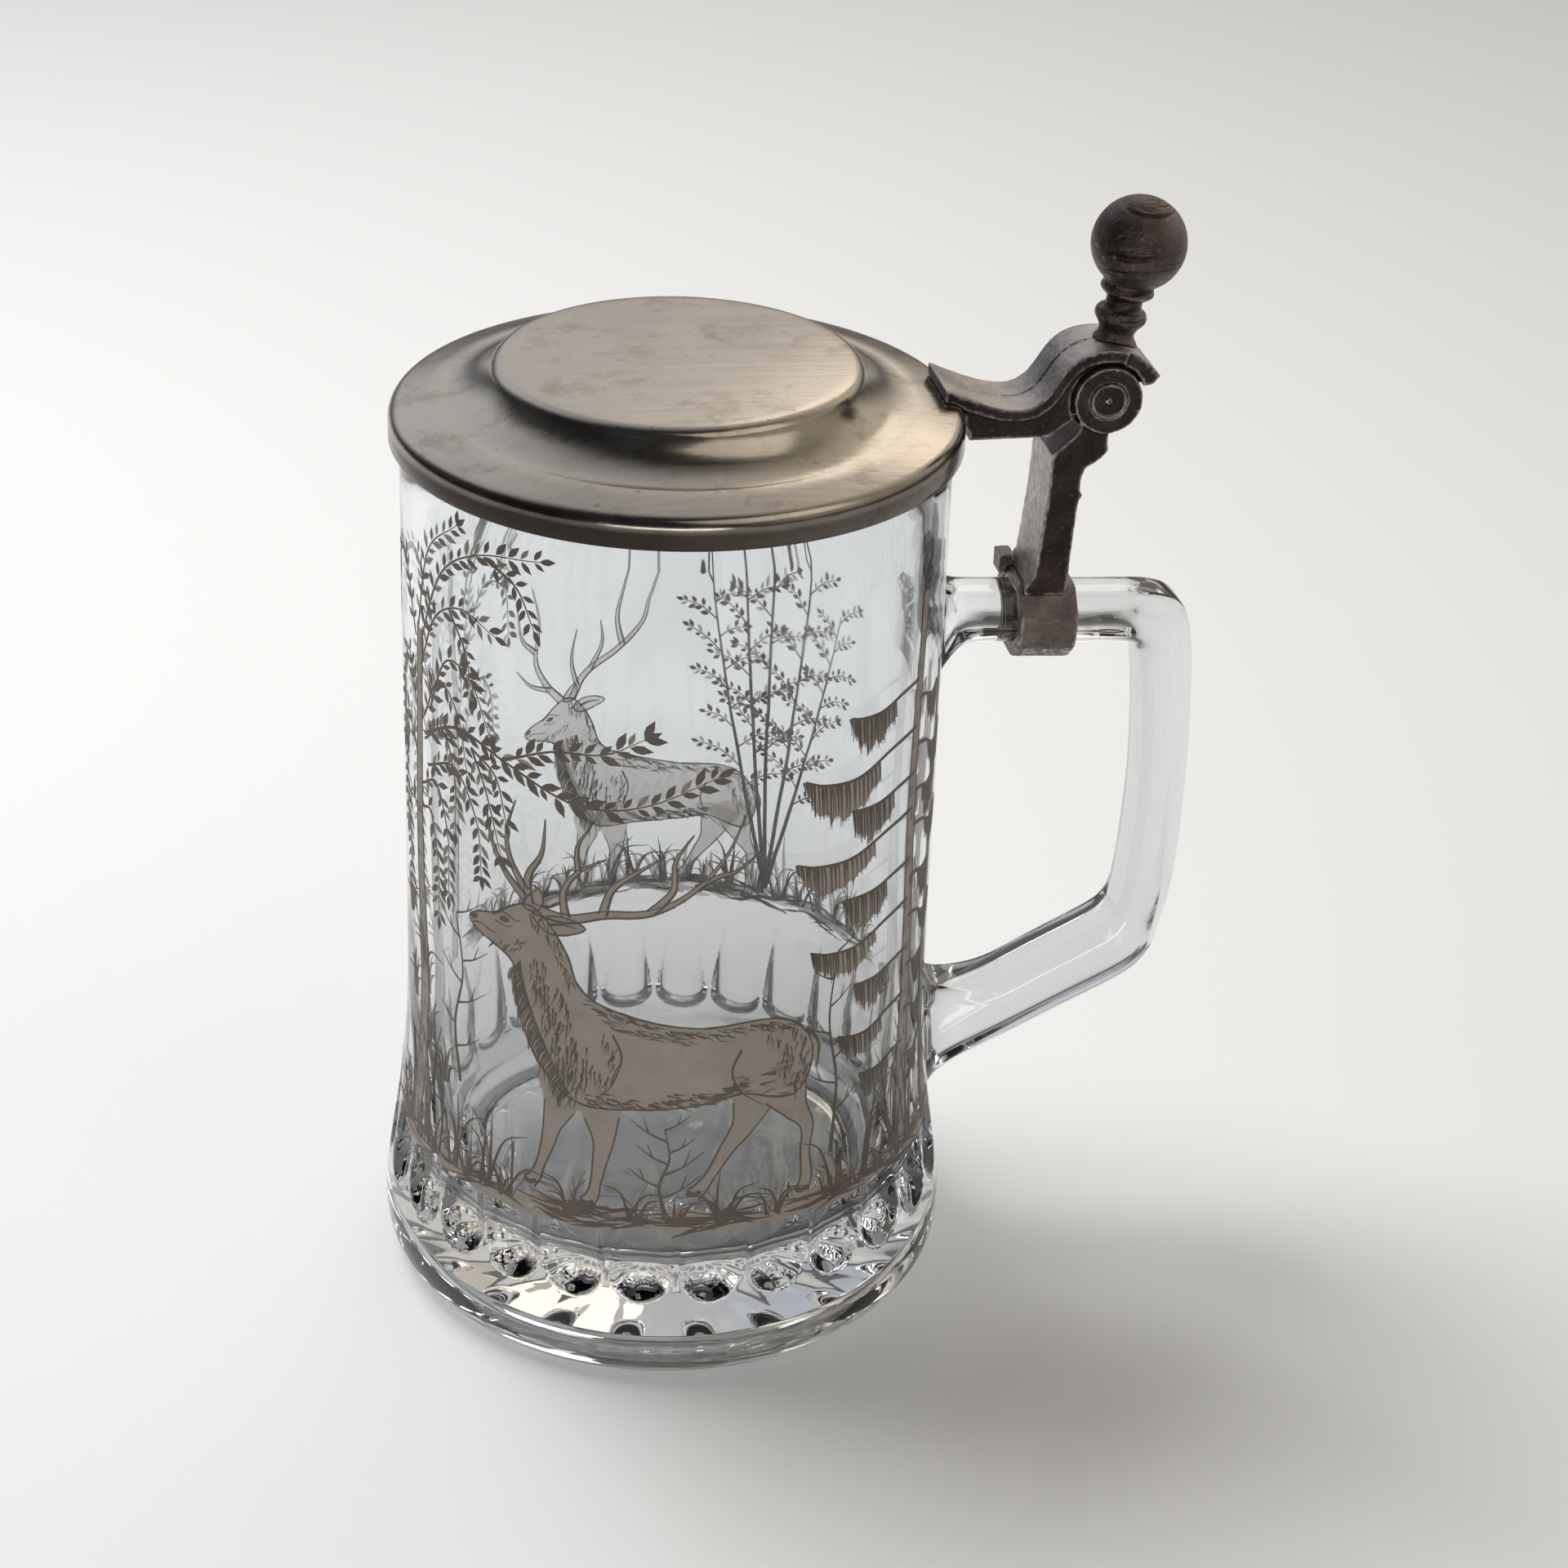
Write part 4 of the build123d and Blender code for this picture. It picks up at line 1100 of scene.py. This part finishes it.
def build_print(tone_front, tone_back_painted_light, ink_material):
    """The whole print: pale washes with ink lines over and under them, front and back."""
    front, back, ink = Drawing(), Drawing(), Drawing()
    draw_stag(front, ink, FRONT_ANTLERS)
    ground(front, ink, -56, 58, 28.5)
    for s in GRASS:
        tuft(front, ink, s, 28.5, 9, vary(6, 10))
    for s, size in REEDS:
        tuft(front, ink, s, 29, 7, size, 0.55)
    for s, z in BUSHES:
        tuft(front, ink, s, z, 12, 8.5, 1, 0.5)
    bare_sapling(ink, [(0.5, 30), (-0.5, 35), (1, 40), (0.2, 45)])
    bare_sapling(ink, [(-36, 44), (-37.5, 54), (-35.5, 64), (-37, 74)])
    trunk(front, ink, [(-49, 30), (-47.4, 55), (-48.6, 82), (-47.4, 118)], 3.6)
    for path in LEFT_FRONDS:
        twig_with_leaves(front, ink, path, 0.5, 1.75, (2.7, 1.05))
    for path, width in RIGHT_FRONDS:
        twig_with_leaves(front, ink, path, width, 2.1, (3.1, 1.25), 0.65, 0.15)
    trunk(front, ink, [(45, 29), (46.5, 60), (45.4, 92), (47, 126)], 3.6)
    trunk(front, ink, [(56.5, 30), (55.4, 70), (57, 110)], 3)
    for z, reach, drop, hang in BOUGHS:
        bough(front, ink, (45.8, z), reach, drop, hang)
        bough(front, ink, (46.4, z - 3.5), -reach * 0.5, drop, hang)
    bare_sapling(ink, [(27.5, 36), (28.8, 48), (27, 60), (28.2, 72)])
    for layer in (back, ink):
        layer.place(mirror=True, scale=0.78, shift=(-129, 17))
    draw_stag(back, ink, BACK_ANTLERS)
    for layer in (back, ink):
        layer.place()
    ground(back, ink, -178, -86, 42)
    for k in range(20):
        tuft(back, ink, -176 + 4.6 * k, 43, 9, vary(7, 12), 0.8, 0.6)
    leafy_tree(back, ink, (-150, 44), BACK_STEMS)
    for path in BACK_FRONDS:
        twig_with_leaves(back, ink, path, 0.45, 1.7, (2.2, 0.9), 0.75, 0.5)
    trunk(back, ink, [(-80, 42), (-82, 80), (-80, 118)], 3)
    front.to_piece("print_tone_front", TONE_LIFT, tone_front)
    back.to_piece("print_tone_back_painted_light", TONE_LIFT, tone_back_painted_light)
    ink.to_piece("print_ink_inner", INNER_INK_LIFT, ink_material)
    ink.to_piece("print_ink_outer", OUTER_INK_LIFT, ink_material)


# ---------------------------------------------------------------- making
DARK = (0.036, 0.027, 0.025)
# Lighter pewter colour for real edge wear and for painted highlights and reflections.
WEAR_AND_HIGHLIGHT = (0.64, 0.58, 0.555)

add_camera()
add_stage()
build_glass(glass_material())
# The back wash is a much lighter copy of the front wash: painted light for the print on the shaded back
# wall.
build_print(print_material("print_tone_front", (0.245, 0.215, 0.178, 1), (0.315, 0.280, 0.235, 1)),
            print_material("print_tone_back_painted_light", (0.70, 0.60, 0.49, 1), (0.80, 0.70, 0.58, 1), opacity=0.5),
            print_material("print_ink", (0.070, 0.053, 0.043, 1), (0.120, 0.094, 0.076, 1)))
build_lid(pewter_material())
# The number after the two colours sets the painted light on upward faces; the other settings set painted
# light to the left and at the upper right.
strap_metal = cast_material("strap_pewter", DARK, WEAR_AND_HIGHLIGHT, 0.95)
post_metal = cast_material("post_pewter", DARK, WEAR_AND_HIGHLIGHT, 0.55, painted_left_light=0.85)
band_metal = cast_material("band_pewter", (0.125, 0.100, 0.090), WEAR_AND_HIGHLIGHT, 0.25)
ball_metal = cast_material("ball_pewter", (0.095, 0.072, 0.063), (0.40, 0.33, 0.30), 0.16, cracks=0.8,
                           painted_upper_right_light=0.8)
castings = [  # CAD node, body, metal, voxel and depth of the dents in mm
    ("lid_strap", "lid", strap_metal, 0.24, 0.20), ("thumblift", "lid", ball_metal, 0.24, 0.14),
    ("hinge_post", "mug", post_metal, 0.24, 0.20), ("handle_band", "mug", band_metal, 0.22, 0.20),
    ("pin_cap_front", "mug", post_metal, 0.11, 0.04), ("pin_cap_rear", "mug", post_metal, 0.11, 0.04),
]
for casting in castings:
    cast_piece(*casting)
for node in ("hinge_pin", "band_lining"):  # almost hidden, so the CAD's own shapes are enough
    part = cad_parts[node]
    part.data.materials.clear()
    part.data.materials.append(post_metal)
